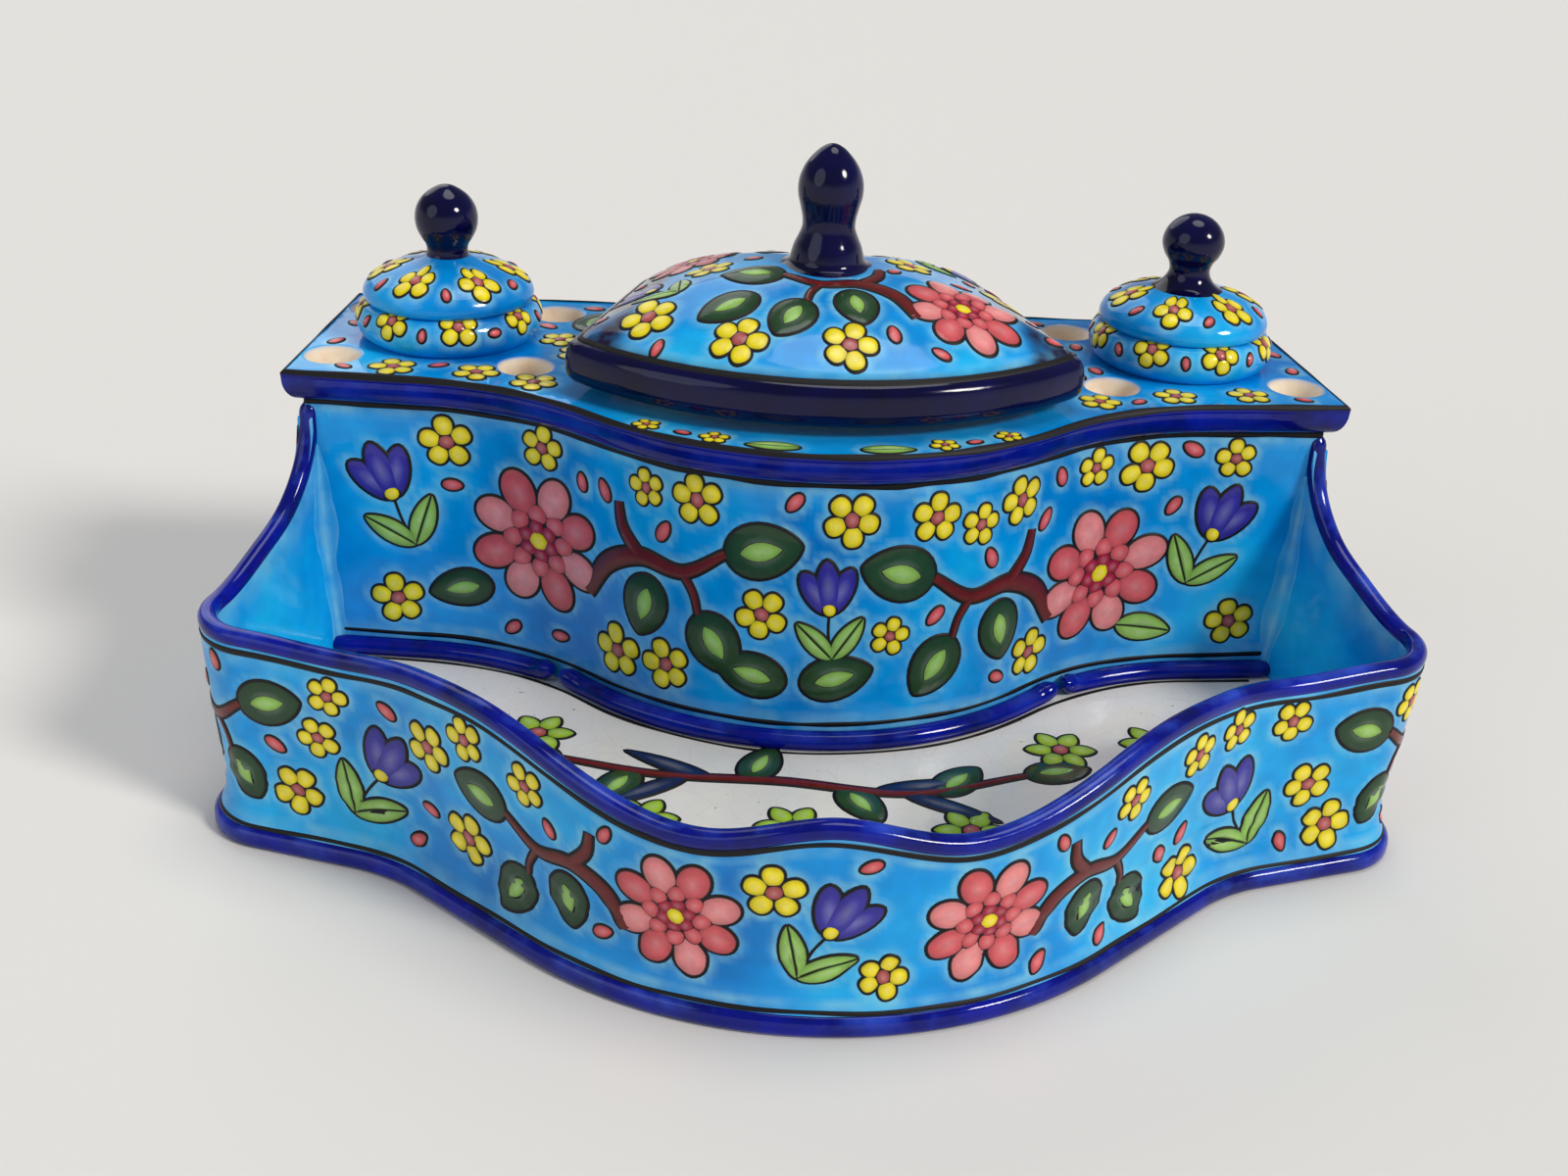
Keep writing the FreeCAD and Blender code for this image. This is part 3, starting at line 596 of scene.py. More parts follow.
    def bell(self, u, v, size, turn):
        """Blue-violet bell flower with its leaves, standing in the direction of the turn."""
        def spot(along, across):
            return (u + along * size * math.cos(turn) - across * size * math.sin(turn),
                    v + along * size * math.sin(turn) + across * size * math.cos(turn))
        self.ribbon([spot(-1.0, 0), spot(-0.45, 0.04), spot(0, 0)], [0.7, 0.8, 0.8])
        for spread in (-0.55, 0.55):
            self.twin(*spot(-0.95, 0.0), turn + spread * 1.25, size * 0.95, size * 0.36)
        for spread in (-0.52, 0.52):
            self.cell(self.blade(*spot(-0.05, 0), turn + spread, size * 0.92, size * 0.42, 0.5, 0.55), VIOLET)
        self.cell(self.blade(*spot(-0.05, 0), turn, size * 1.0, size * 0.44, 0.5, 0.6), VIOLET, 0.1)
        self.disc(*spot(0.02, 0), size * 0.12, YELLOW, 0.18, 12)

    def leaf(self, u, v, turn, length, width):
        """Dark green leaf with a pale heart."""
        self.cell(self.blade(u, v, turn, length, width, 0.55, 0.72, 28), DARK_LEAF, 0.0, 0.85, 0.35)
        heart = self.blade(*polar(u, v, length * 0.2, turn), turn, length * 0.55, width * 0.36, 0.8, 0.9, 18)
        self.cell(heart, PALE_LEAF, 0.2, 0.5)

    def twin(self, u, v, turn, length, width):
        """Pale green leaf in two halves."""
        gap = 0.22
        for side in (-1, 1):
            du, dv = -math.sin(turn) * gap * side, math.cos(turn) * gap * side
            loop = self.blade(u + du, v + dv, turn, length, width, 0.7, 0.85, 24, side)
            self.cell(loop, PALE_LEAF, 0.0, 0.65)

    def bud(self, u, v, turn, length):
        self.cell(self.blade(u, v, turn, length, length * 0.56, 0.5, 0.6, 16), CORAL, 0.0, 0.6)

    def spray(self, u, v, flip, size):
        """A branch with leaves, buds and one large flower, in either hand."""
        def spot(x, y):
            return u + flip * x * size, v + y * size

        def heading(degrees):
            return math.radians(degrees if flip > 0 else 180 - degrees)
        branches = ((((-24, 9), (-14, 3), (-3, 4), (6, 0), (12, -9)), (1.7, 2.7, 3.7, 4.2, 3.0)),
                    (((-3, 4), (2, 10), (3, 15)), (3.0, 2.5, 1.7)),
                    (((-14, 3), (-17, -2), (-18, -6)), (1.5, 1.2, 1.0)))
        leaves = ((-24, 9, 168, 17, 12), (-18, -6, 236, 15, 11.5), (-6, 0, 282, 14.5, 11))
        for points, widths in branches:
            self.ribbon([spot(*p) for p in points], [width * size for width in widths], BROWN)
        for x, y, turn, length, width in leaves:
            self.leaf(*spot(x, y), heading(turn), length * size, width * size)
        for x, y, turn in ((-8, 9, 118), (6, 14, 62)):
            self.bud(*spot(x, y), heading(turn), 5 * size)
        self.rosette(*spot(25, -1), 16.5 * size, heading(20))

    def reach_of(self, spots):
        """Distance from each spot to the nearest thing drawn so far."""
        drawn = np.concatenate(self.edge)
        return nearest(drawn, spots) if len(drawn) else np.full(len(spots), math.inf)

    def fill(self, low, high, inside, tries, sizes, draw, gap=1.0):
        """Draws a small motif wherever it still fits."""
        spots = np.array([[self.dice.uniform(low[i], high[i]) for i in (0, 1)] for _ in range(tries)])
        size = np.array([self.dice.uniform(*sizes) for _ in range(tries)])
        good = inside(spots[:, 0], spots[:, 1], size)
        spots, size = spots[good], size[good]
        good = self.reach_of(spots) > size + gap
        kept = []
        for spot, radius in zip(spots[good], size[good]):
            if all(math.dist(spot, other) > radius + width + gap for other, width in kept):
                kept.append((spot, radius))
        for spot, radius in kept:
            draw(*spot, radius)

    def fill_flowers(self, low, high, inside, flower, bud, tries=2500):
        """Small flowers and then buds in the free places."""
        for share in (1.0, 0.8):
            sizes = (flower[0] * share, flower[1] * share)
            self.fill(low, high, inside, tries, sizes, self.loose_blossom)
        self.fill(low, high, inside, tries // 3, bud, self.loose_bud, 2.0)

    def rule(self, u, v, sway, width, seed):
        """A black line drawn by hand."""
        self.ribbon(hand_line(u, v, sway, seed), hand_width(len(u), width, seed + 1))

    def loose_blossom(self, u, v, size):
        self.blossom(u, v, size, self.dice.random() * 6)

    def loose_bud(self, u, v, size):
        turn = self.dice.random() * 6
        self.bud(*polar(u, v, -size, turn), turn, size * 2)

    def object(self, name, body):
        piece = make_object(name, np.concatenate(self.verts), self.faces, [ENAMEL], smooth_angle=75)
        set_tint(piece, np.concatenate(self.tints))
        dress(piece, body, "turquoise_glaze")

    def halo(self, u, v, reach=1.1):
        """How much paler the ground is beside the drawing, from none to all."""
        return np.exp(-(self.reach_of(np.column_stack([u, v])) / reach) ** 2)


def hand_line(u, v, sway, seed):
    """A line drawn by hand: points that stray a little from a straight one."""
    dice = random.Random(seed)
    drift = sum(math.sin(dice.random() * 6) * np.sin(np.asarray(u) / period + dice.random() * 6)
                for period in (23.0, 9.0, 4.1))
    return np.column_stack([u, v + sway * drift])


def hand_width(count, width, seed):
    """Widths of a line drawn by hand, which swell and thin a little."""
    dice = random.Random(seed)
    knots = [width * dice.uniform(0.7, 1.25) for _ in range(max(4, count // 5))]
    return np.interp(np.linspace(0, 1, count), np.linspace(0, 1, len(knots)), knots)


# Tray wall and its bead

corner_turn = math.acos(float(edge_normal(tray_ear, tray_corner) @ edge_normal(tray_corner, tray_knee)))
turn_reach = TRAY_RADIUS * math.tan(corner_turn / 2)
side_start = (tray_corner + unit(tray_ear - tray_corner) * turn_reach)[1]
ear_y = case_corner[1] - 1.5
low_rim, ear_top = RIM_Z + 4.5, DECK_Z - 21.0
sweep_line = [(ear_y + (side_start - ear_y) * forward, low_rim + (ear_top - low_rim) * rise)
              for forward, rise in ((1.3, 0.0), (1.0, 0.0), (0.57, 0.24), (0.26, 0.51), (0.05, 0.95))]
sweep_line += [(case_corner[1] - 0.9, 82.5), (case_corner[1] - 0.2, DECK_Z - 10.5)]
sweep_line = smooth_line(sweep_line, 0.4)
RIM_SHARES = (-0.19, 0, 0.19, 0.52, 0.72, 0.88, 1.0)
RIM_HEIGHTS = RIM_Z + np.array((-5.5, 0, -5.5, 5.5, 3.5, 4.5, 4.5))


def rim_height(u):
    """Height of the rim along the tray's wall."""
    place = gallery_path.at(u)
    share = np.abs(place[:, 0]) / tray_half
    front = curve(RIM_SHARES, RIM_HEIGHTS, share)
    side = np.interp(place[:, 1], sweep_line[:, 0], sweep_line[:, 1])
    on_side = (place[:, 1] > side_start) & (share > 0.8)
    return np.where(on_side, np.maximum(side, low_rim), front)


def wall_inset(z):
    """How far the outside of the tray's wall stands back at a height."""
    ripple = 0.22 * np.sin((z - 9) * 1.25) * np.clip((z - 7) / 3, 0, 1) * np.clip((25 - z) / 5, 0, 1)
    return curve((4.6, 8, 14, 22, 36, 48, 60, 98), (0.6, 1.9, 2.9, 2.5, 1.2, 0.4, 0.25, 0.25), z) + ripple


def wall_thickness(z):
    """How far the inside of the tray's wall lies from its outline at a height."""
    return np.interp(z, (FLOOR_Z, RIM_Z), (WALL_FOOT_INSET, WALL_RIM_INSET))


def gallery(u, v, height):
    place = gallery_path.at(u, wall_inset(v) - height)
    return np.column_stack([place, v])


FINE_END = 5
near_end = gallery_path.end - np.linspace(0, FINE_END, 18)[:-1]
wall_u = np.linspace(FINE_END - gallery_path.end, gallery_path.end - FINE_END, 330)
wall_u = np.unique(np.concatenate([wall_u, near_end, -near_end]))
rim = rim_height(wall_u)


def bead_loop(angles, wide, high, power=0.85):
    """Rounded section of a bead."""
    cos, sin = np.cos(angles), np.sin(angles)
    return np.sign(cos) * np.abs(cos) ** power * wide, np.sign(sin) * np.abs(sin) ** power * high


def sweep(spine, out, section_u, section_w, size):
    """Loops of a section carried along a line in space, at a size for each point."""
    along = units(np.gradient(spine, axis=0))
    up = units(np.cross(out, along))
    return (spine[:, None] + out[:, None] * section_u[None, :, None] * size[:, None, None]
            + up[:, None] * section_w[None, :, None] * size[:, None, None])


def even(line, step):
    """Where even steps along a line in space lie, counted in its points."""
    lengths = run_lengths(line)
    cuts = np.linspace(0, lengths[-1], math.ceil(lengths[-1] / step))
    return np.interp(cuts, lengths, np.arange(len(line)))


def at_index(values, index):
    """Rows of values read between their places in the list."""
    base = np.arange(len(values))
    return np.stack([np.interp(index, base, values[:, i]) for i in range(values.shape[1])], 1)


def rounded_ends(count, steps):
    """Sizes along a line that shrink to a round end over a few steps."""
    taper = np.ones(count)
    for i in range(steps):
        taper[i] = taper[-1 - i] = math.sqrt(1 - (1 - (i + 0.25) / steps) ** 2)
    return taper


def build_gallery():
    art = Art(gallery, 11)
    ends = np.linspace(-gallery_path.end, gallery_path.end, 2 * LINE_POINTS)
    top = rim_height(ends) - 5.8

    def inside(u, v, size):
        low, high, rest = 7.6, np.interp(u, ends, top), size * 0.7
        return (low < v - rest) & (v + rest < high) & (np.abs(u) < gallery_path.end - 2 - size)

    art.spray(-55, 25.5, 1, 0.9)
    art.spray(57, 25.5, -1, 0.9)
    art.bell(0, 25, 14, math.radians(62))
    art.bell(112, 25, 15, math.radians(118))
    art.bell(-116, 26, 15, math.radians(58))
    art.spray(-172, 30, -1, 0.92)
    art.spray(174, 30, 1, 0.92)
    art.fill_flowers((-gallery_path.end, 8), (gallery_path.end, 80), inside, FLOWER_SIZES, BUD_SIZES)
    line = ends[::2]
    art.rule(line, rim_height(line) - 4.6, 0.12, 1.5, 3)
    art.rule(line, 5.5, 0.1, 1.0, 5)

    outer_rows, inner_rows, inner_low, inner_high = 30, 10, 19.5, rim - 2.2
    outer_z = 4.2 + (rim - 6.4)[:, None] * np.linspace(0, 1, outer_rows)[None]
    outer = np.stack([gallery(wall_u, z, 0.0) for z in outer_z.T], 1)
    inner_z = inner_high[:, None] + (inner_low - inner_high)[:, None] * np.linspace(0, 1, inner_rows)[None]
    inner = np.stack([np.column_stack([gallery_path.at(wall_u, wall_thickness(z)), z]) for z in inner_z.T], 1)
    piece = skin_object("tray_wall_glaze", np.concatenate([outer, inner], 1), [TURQUOISE])
    halo = np.zeros((len(wall_u), outer_rows + inner_rows))
    halo[:, :outer_rows] = art.halo(np.repeat(wall_u, outer_rows), outer_z.ravel()).reshape(-1, outer_rows)
    halo[:, outer_rows:outer_rows + 3] = (0.9, 0.5, 0.1)
    set_attribute(piece, "halo", halo.ravel())
    dress(piece, "stand", "turquoise_glaze", "tray_wall")
    art.object("tray_wall_enamel", "stand")


def build_bead():
    bead_wide, bead_high = 2.2, 2.1
    fine = np.linspace(-gallery_path.end, gallery_path.end, 900)
    fine = np.unique(np.concatenate([fine, near_end, -near_end]))
    crest = np.column_stack([gallery_path.at(fine, bead_wide), rim_height(fine)])
    outs = gallery_path.outward(fine)
    peaks = [crest[i] + np.array([0, 0.1, 1.3]) for i in (0, -1)]
    crest, outs = np.vstack([peaks[0], crest, peaks[1]]), np.vstack([outs[0], outs, outs[-1]])
    index = even(crest, 1.2)
    crest, outs = at_index(crest, index), units(at_index(outs, index))
    along = units(np.gradient(crest, axis=0))
    crest = crest - units(np.cross(outs, along)) * bead_high
    angles = round_angles(20)
    wide, high = bead_loop(angles, bead_wide, bead_high)
    loops = sweep(crest, outs, wide, high, rounded_ends(len(crest), 2))
    piece = skin_object("rim_bead_glaze", loops, [COBALT])
    set_attribute(piece, "thin", np.tile(np.clip(np.sin(angles), 0, 1) ** 2, len(crest)))
    dress(piece, "stand", "navy_glaze", "tray_rim_bead")


def build_corner_joints():
    """Glaze pooled in the upright corners between the tray's sides and the case."""
    low, high, fade_from, fade = 20.0, 78.0, 80.0, 14.0
    heights = np.linspace(low, high, 40)
    from_end, overlap = np.array([1.0, 12.0]), 0.8
    front_path = case_paths["front"]
    for side, sign in SIDES.items():
        loops = []
        for z in heights:
            wall = gallery_path.at(gallery_path.end - from_end, np.full(2, float(wall_thickness(z))))
            front = front_path.at(front_path.end - from_end, np.full(2, MOULDING))
            along_wall, along_case = unit(wall[1] - wall[0]), unit(front[1] - front[0])
            gap = front[0] - wall[0]
            turn = along_wall[0] * along_case[1] - along_wall[1] * along_case[0]
            joint = wall[0] + along_wall * (gap[0] * along_case[1] - gap[1] * along_case[0]) / turn
            size = 3.0 + 0.7 * math.sin(z / 6.5 + sign) + 0.4 * math.sin(z / 2.7)
            size *= min(1.0, (fade_from - z) / fade)
            first, last = joint + along_case * size, joint + along_wall * size
            bend = [(1 - t) ** 2 * first + 2 * t * (1 - t) * joint + t * t * last
                    for t in np.linspace(0, 1, 7)]
            back = joint - (along_case + along_wall) * overlap
            flat = np.array(bend + [last - along_case * overlap, back, first - along_wall * overlap])
            loops.append(at_level(flat * (sign, 1), z))
        piece = skin_object("corner_joint_%s" % side, loops, [TURQUOISE])
        set_attribute(piece, "halo", np.tile((0.7, 0.3, 0.5, 0.9, 0.6, 0.2, 0.8, 0, 0, 0), len(heights)))
        dress(piece, "stand", "turquoise_glaze")


def build_foot():
    points = [case_back + np.array([-FOOT_LEDGE, FOOT_LEDGE]), *tray_points[1:8],
              np.array([-1, 1]) * case_back + FOOT_LEDGE]
    radii = [3.0, 8.0, *tray_radii[2:7], 8.0, 3.0]
    places, growths = closed_stations(points, radii, 2.5)
    section = ((-6.6, 0.0), (-0.6, 0.0), (0.3, 0.4), (0.75, 1.2), (0.8, 2.4), (0.6, 3.7), (0.0, 4.6),
               (-1.2, 5.0), (-6.6, 5.0))
    piece = skin_object("foot_glaze", band(places, growths, section), [COBALT], True, smooth_angle=60)
    set_attribute(piece, "thin", np.tile([0, 0, 0, 0.2, 0.3, 0.6, 1, 0.4, 0], len(places)))
    dress(piece, "stand", "navy_glaze", "foot_rim")


# Case walls

def case_face(side):
    path = case_paths[side]

    def surface(u, v, height):
        return np.column_stack([path.at(u, MOULDING - height), v])
    return surface


def case_reach(side):
    """Where a case wall's skin starts and ends, just inside the edges of its corners."""
    path = case_paths[side]
    low, high = (MOULDING * float(path.growths[i] @ unit(path.places[i] - path.places[j])) + 0.1
                 for i, j in ((0, 1), (-1, -2)))
    return low - path.end, path.end - high


def build_case_wall(side, art, low_z):
    path = case_paths[side]
    rows = 44
    u = np.linspace(*case_reach(side), max(8, int(path.end * 2 / 1.6)))
    z = np.linspace(low_z, CASE_TOP, rows)
    outer = np.stack([case_face(side)(u, np.full(len(u), height), 0.0) for height in z], 1)
    inner = np.stack([at_level(path.at(u, MOULDING + inset), height)
                      for inset, height in ((0.8, CASE_TOP), (CASE_WALL, 85.8), (CASE_WALL, low_z))], 1)
    loops = np.concatenate([outer, inner], 1)
    piece = skin_object("case_%s_glaze" % side, loops, [TURQUOISE])
    halo = np.zeros(loops.shape[:2])
    halo[:, :rows] = art.halo(np.repeat(u, rows), np.tile(z, len(u))).reshape(-1, rows)
    set_attribute(piece, "halo", halo.ravel())
    dress(piece, "stand", "turquoise_glaze", "case_%s_wall" % side)
    art.object("case_%s_enamel" % side, "stand")


def along_front(x):
    """Length along the case's front at which it reaches a distance from the middle."""
    path = case_paths["front"]
    half = len(path.places) // 2
    return float(np.interp(x, path.places[half:, 0], path.along[half:]))


def build_case():
    for seed, (side, path) in enumerate(case_paths.items()):
        art = Art(case_face(side), 31 + seed)
        end = along_front(FRONT_ART_HALF) if side == "front" else path.end - 8
        low, high = 30 if side == "front" else 13, 88.0

        def inside(u, v, size):
            return (np.abs(u) < end - size * 0.6) & (low < v - size * 0.8) & (v + size * 0.8 < high)

        line = np.linspace(*case_reach(side), LINE_POINTS)
        if side == "front":
            art.spray(-51, 60, -1, 1.12)
            art.spray(55, 55, 1, 1.12)
            art.bell(2, 58, 13.5, math.radians(96))
            art.bell(112, 62, 15, math.radians(70))
            art.bell(-116, 66, 15, math.radians(112))
            art.leaf(-4, 38, math.radians(14), 18, 11)
            art.leaf(-8, 38, math.radians(168), 18, 11)
            art.leaf(-92, 44, math.radians(196), 16, 9.5)
            art.twin(90, 38, math.radians(-12), 15, 7)
            art.rule(line, 27.3, 0.15, 1.3, 41)
        elif side == "back":
            for u in (-77, 0, 77):
                art.spray(u, 66, 1, 0.94)
            for u in (-41, 37):
                art.spray(u, 31, -1, 0.94)
            art.bell(-103, 24, 14, math.radians(104))
            art.bell(100, 24, 14, math.radians(76))
        else:
            art.spray(0, 63, -1, 0.62)
            art.bell(8, 25, 14, math.radians(96))
        art.fill_flowers((-end, low - 4), (end, 90), inside, FLOWER_SIZES, BUD_SIZES)
        # Black outline under the moulding, drawn wider than the real line so that it also stands for painted
        # shade beneath the moulding.
        art.rule(line, 89.2, 0.12, 1.7, 43)
        build_case_wall(side, art, 20.0 if side == "front" else 4.0)


def build_moulding():
    places, growths = closed_stations(deck_points, deck_radii, 2.0, slide=True)
    turns = np.linspace(0, math.pi / 2, 9)
    top, round_top, wide, high, lip = 96.6, 96.0, 3.5, 5.9, -0.05
    section = [(-1.8, top), (lip, top)]
    section += [(lip - wide * (1 - math.cos(a)), round_top - high * math.sin(a)) for a in turns]
    section += [(-4.2, 90.0), (-3.8, 93.0), (-2.6, 95.2)]
    piece = skin_object("deck_moulding_glaze", band(places, growths, section), [COBALT], True)
    thin = [0, 0.4, 0.4, 0.3, 0.2, 0.1, 0, 0, 0.2, 0.5, 0.9, 0.5, 0, 0]
    set_attribute(piece, "thin", np.tile(thin, len(places)))
    dress(piece, "stand", "navy_glaze", "deck_moulding")


# Deck

cover_front, cover_back = -9.0, 45.5
cover_front_half, cover_back_half = 62.0, 46.5
cover_middle = np.array([0.0, cover_front + (cover_back - cover_front) * 0.395])


def arc_through(start, middle, end, step):
    """Points of the circle through three points, the end left out."""
    a, b, c = (complex(*p) for p in (start, middle, end))
    w = (c - a) / (b - a)
    centre = (b - a) * (w - abs(w) ** 2) / (2j * w.imag) + a
    radius = abs(a - centre)
    first, second = np.angle(a - centre), np.angle(c - centre)
    swing = (second - first) % (2 * math.pi)
    count = math.ceil(radius * swing / step)
    angles = first + swing * np.arange(count) / count
    return np.column_stack([centre.real + radius * np.cos(angles), centre.imag + radius * np.sin(angles)])


def straight(start, end, step):
    start, end = np.asarray(start, float), np.asarray(end, float)
    count = math.ceil(np.linalg.norm(end - start) / step)
    return start + (end - start) * (np.arange(count) / count)[:, None]


def cover_outline():
    corners = [(-cover_front_half, cover_front), (cover_front_half, cover_front),
               (cover_back_half, cover_back), (-cover_back_half, cover_back)]
    step = 1.2
    loop = np.concatenate([arc_through(corners[0], (0, cover_front - 26.5), corners[1], step),
                           straight(corners[1], corners[2], step),
                           arc_through(corners[2], (0, cover_back + 4.0), corners[3], step),
                           straight(corners[3], corners[0], step)])
    return sum(np.roll(loop, shift, axis=0) for shift in range(-2, 3)) / 5


cover_loop = cover_outline()
cover_arms = cover_loop - cover_middle
cover_angles = np.unwrap(np.arctan2(cover_arms[:, 1], cover_arms[:, 0]))
cover_reach = np.linalg.norm(cover_arms, axis=1)


def cover_inset(inset):
    """The lid's outline moved inwards."""
    shares = np.linspace(0.3, 1, 141)
    spots = cover_middle + cover_arms[:, None] * shares[None, :, None]
    gaps = np.array([np.sqrt(((row[:, None] - cover_loop[None]) ** 2).sum(-1)).min(1) for row in spots])
    share = np.array([np.interp(inset, row[::-1], shares[::-1]) for row in gaps])
    return cover_middle + cover_arms * share[:, None]


def circle(centre, radius, count):
    angles = round_angles(count)
    return np.column_stack([centre[0] + radius * np.cos(angles), centre[1] + radius * np.sin(angles)])


def in_loop(loop, x, y):
    """Whether points lie inside a closed loop."""
    inside = np.zeros(len(x), bool)
    for (x0, y0), (x1, y1) in zip(loop, np.roll(loop, -1, axis=0)):
        inside ^= ((y0 > y) != (y1 > y)) & (x < (x1 - x0) * (y - y0) / (y1 - y0 + 1e-12) + x0)
    return inside


def between(loops, spots):
    """Whether points lie inside the first loop and outside the others."""
    good = in_loop(loops[0], spots[:, 0], spots[:, 1])
    for loop in loops[1:]:
        good &= ~in_loop(loop, spots[:, 0], spots[:, 1])
    return good


def sheet(loops, step):
    """Triangles between an outer loop and the holes in it, with even points between them."""
    rims = np.concatenate(loops)
    low, high = rims.min(0), rims.max(0)
    gx, gy = np.meshgrid(np.arange(low[0], high[0], step), np.arange(low[1], high[1], step))
    gx[1::2] += step / 2
    spots = np.column_stack([gx.ravel(), gy.ravel()])
    keep = between(loops, spots) & (nearest(rims, spots) > step * 0.6)
    points = np.concatenate([rims, spots[keep]])
    edges, start = [], 0
    for loop in loops:
        edges += [(start + i, start + (i + 1) % len(loop)) for i in range(len(loop))]
        start += len(loop)
    corners = [Vector(p) for p in points]
    places, _, faces, origins, _, _ = geometry.delaunay_2d_cdt(corners, edges, [], 1, 1e-5)
    places = np.array(places)
    kept = between(loops, np.array([places[list(face)].mean(0) for face in faces]))
    origin = [sources[0] for sources in origins]
    return points, [[origin[i] for i in face] for face, good in zip(faces, kept) if good]


def build_deck():
    ring, growths = closed_stations(deck_points, deck_radii, 2.0, slide=True)
    outer = ring - growths * 0.8
    pots = [circle((sign * POT_X, POT_Y), POT_HOLE, 72) for sign in SIDES.values()]
    well_hole = cover_inset(9.7)[::2]
    sockets = [place for sign in SIDES.values() for place in socket_places(sign)]
    mouth_count = 40
    mouths = [circle(place, SOCKET_MOUTH, mouth_count) for place in sockets]

    art = Art(level_surface(DECK_Z), 57)
    blocked = [circle((sign * POT_X, POT_Y), COLLAR_REACH, 60) for sign in SIDES.values()]
    blocked += [cover_loop] + mouths
    limit = ring - growths * 3.0
    edges = np.concatenate(blocked + [limit])

    def inside(u, v, size):
        spots = np.column_stack([u, v])
        near = np.array([np.sqrt(((edges - spot) ** 2).sum(1)).min() for spot in spots])
        return between([limit] + blocked, spots) & (near > size * 0.8)

    for sign in SIDES.values():
        art.twin(sign * 7, -39.3, math.radians(90 - sign * 84), 12, 4.0)
        art.blossom(sign * 26, -34.7, 3.3, sign)
        art.blossom(sign * 41.5, -28.0, 3.1, 2 * sign)
        art.bud(sign * 31.6, -32.9, math.radians(90 - sign * 66), 3.6)
        art.leaf(sign * 60, 38, math.radians(90 + sign * 14), 15, 9)
        art.leaf(sign * 86, 59.8, math.radians(90 - sign * 88), 14, 4.8)
    low, high = (-128, -45), (128, 62)
    art.fill(low, high, inside, 3500, (4.9, 5.9), art.loose_blossom, 0.7)
    art.fill(low, high, inside, 2500, (2.0, 2.6), art.loose_bud, 1.4)

    loops = [outer] + pots + [well_hole] + mouths
    points, faces = sheet(loops, 1.9)
    verts = [at_level(points, DECK_Z)]
    bare = [np.zeros(len(points))]
    halo = [art.halo(points[:, 0], points[:, 1])]
    total = len(points)
    slots = [0] * len(faces)

    def add_rings(first, rings, shades, slot=0):
        """Joins more loops of points below a loop that is already there."""
        nonlocal total
        above = first
        for ring_points, shade in zip(rings, shades):
            verts.append(ring_points)
            bare.append(np.full(len(ring_points), shade))
            halo.append(np.zeros(len(ring_points)))
            below = list(range(total, total + len(ring_points)))
            total += len(ring_points)
            size = len(above)
            for i in range(size):
                ahead = (i + 1) % size
                faces.append([above[i], below[i], below[ahead], above[ahead]])
            slots.extend([slot] * size)
            above = below
        return above

    start = 0
    index_of = []
    for loop in loops:
        index_of.append(list(range(start, start + len(loop))))
        start += len(loop)

    edge = ((0.35, 97.85), (0.08, 97.4), (0.0, 96.9), (0.05, 96.2), (0.3, LIP_Z), (2.6, LIP_Z), (3.25, 94.6),
            (4.05, 93.0), (4.05, SLAB_Z))
    rings = [at_level(ring - growths * inset, z) for inset, z in edge]
    under_index = [add_rings(index_of[0], rings, [0] * len(edge), 1)]
    under_loops = [ring - growths * edge[-1][0]] + loops[1:4]
    for number, loop in enumerate(loops[1:4], 1):
        under_index.append(add_rings(index_of[number], [at_level(loop, SLAB_Z)], [0.6]))
    # Rings of each pen socket as radius, depth and bare share; shares above one are painted shade, darker
    # deeper down the socket.
    steps = ((7.1, -0.1, 0.15), (6.6, -0.45, 0.8), (6.1, -1.1, 1), (5.3, -2.6, 1), (4.2, -5.0, 1.15),
             (3.2, -7.4, 1.4), (2.4, -8.7, 1.7), (1.2, -9.0, 1.9))
    shades = [step[2] for step in steps]
    for place, first in zip(sockets, index_of[4:]):
        rings = [at_level(circle(place, radius, mouth_count), DECK_Z + depth) for radius, depth, _ in steps]
        faces.append(add_rings(first, rings, shades))
        slots.append(0)
    under_points, under_faces = sheet(under_loops, 9.0)
    known = [i for loop in under_index for i in loop]
    extra = under_points[len(known):]
    verts.append(at_level(extra, SLAB_Z))
    bare.append(np.full(len(extra), 0.8))
    halo.append(np.zeros(len(extra)))
    lookup = known + list(range(total, total + len(extra)))
    faces.extend([lookup[i] for i in face][::-1] for face in under_faces)
    slots += [0] * len(under_faces)
    glazes = [TURQUOISE, COBALT]
    piece = make_object("deck_glaze", np.concatenate(verts), faces, glazes, slots, smooth_angle=40)
    set_attribute(piece, "halo", np.concatenate(halo))
    set_attribute(piece, "bare", np.concatenate(bare))
    dress(piece, "stand", "turquoise_glaze", "deck_slab")
    art.object("deck_enamel", "stand")

    width = hand_width(len(ring), 0.72, 58)
    width[-1] = width[0]
    angles = round_angles(10)
    tilt, long_half, short_half = math.radians(48), 1.15, 0.4
    outs = np.column_stack([growths, np.zeros(len(ring))])
    along = math.cos(tilt) * np.cos(angles) * long_half + math.sin(tilt) * np.sin(angles) * short_half
    above = -math.sin(tilt) * np.cos(angles) * long_half + math.cos(tilt) * np.sin(angles) * short_half
    line_inset, line_z = 0.42, 97.66
    spine = at_level(ring - growths * line_inset, line_z)
    loops = (spine[:, None] + outs[:, None] * (along[None] * width[:, None])[..., None]
             + np.array([0, 0, 1.0]) * (above[None] * width[:, None])[..., None])
    line = skin_object("deck_edge_line", loops, [ENAMEL], True)
    set_tint(line, np.tile(LINE, (len(line.data.vertices), 1)))
    dress(line, "stand", "turquoise_glaze")


# Turned pieces

def turned(profile, centre, base, count=128):
    """Loops of a turned piece from pairs of radius and height."""
    return np.stack([at_level(circle(centre, radius, count), base + height) for radius, height in profile])


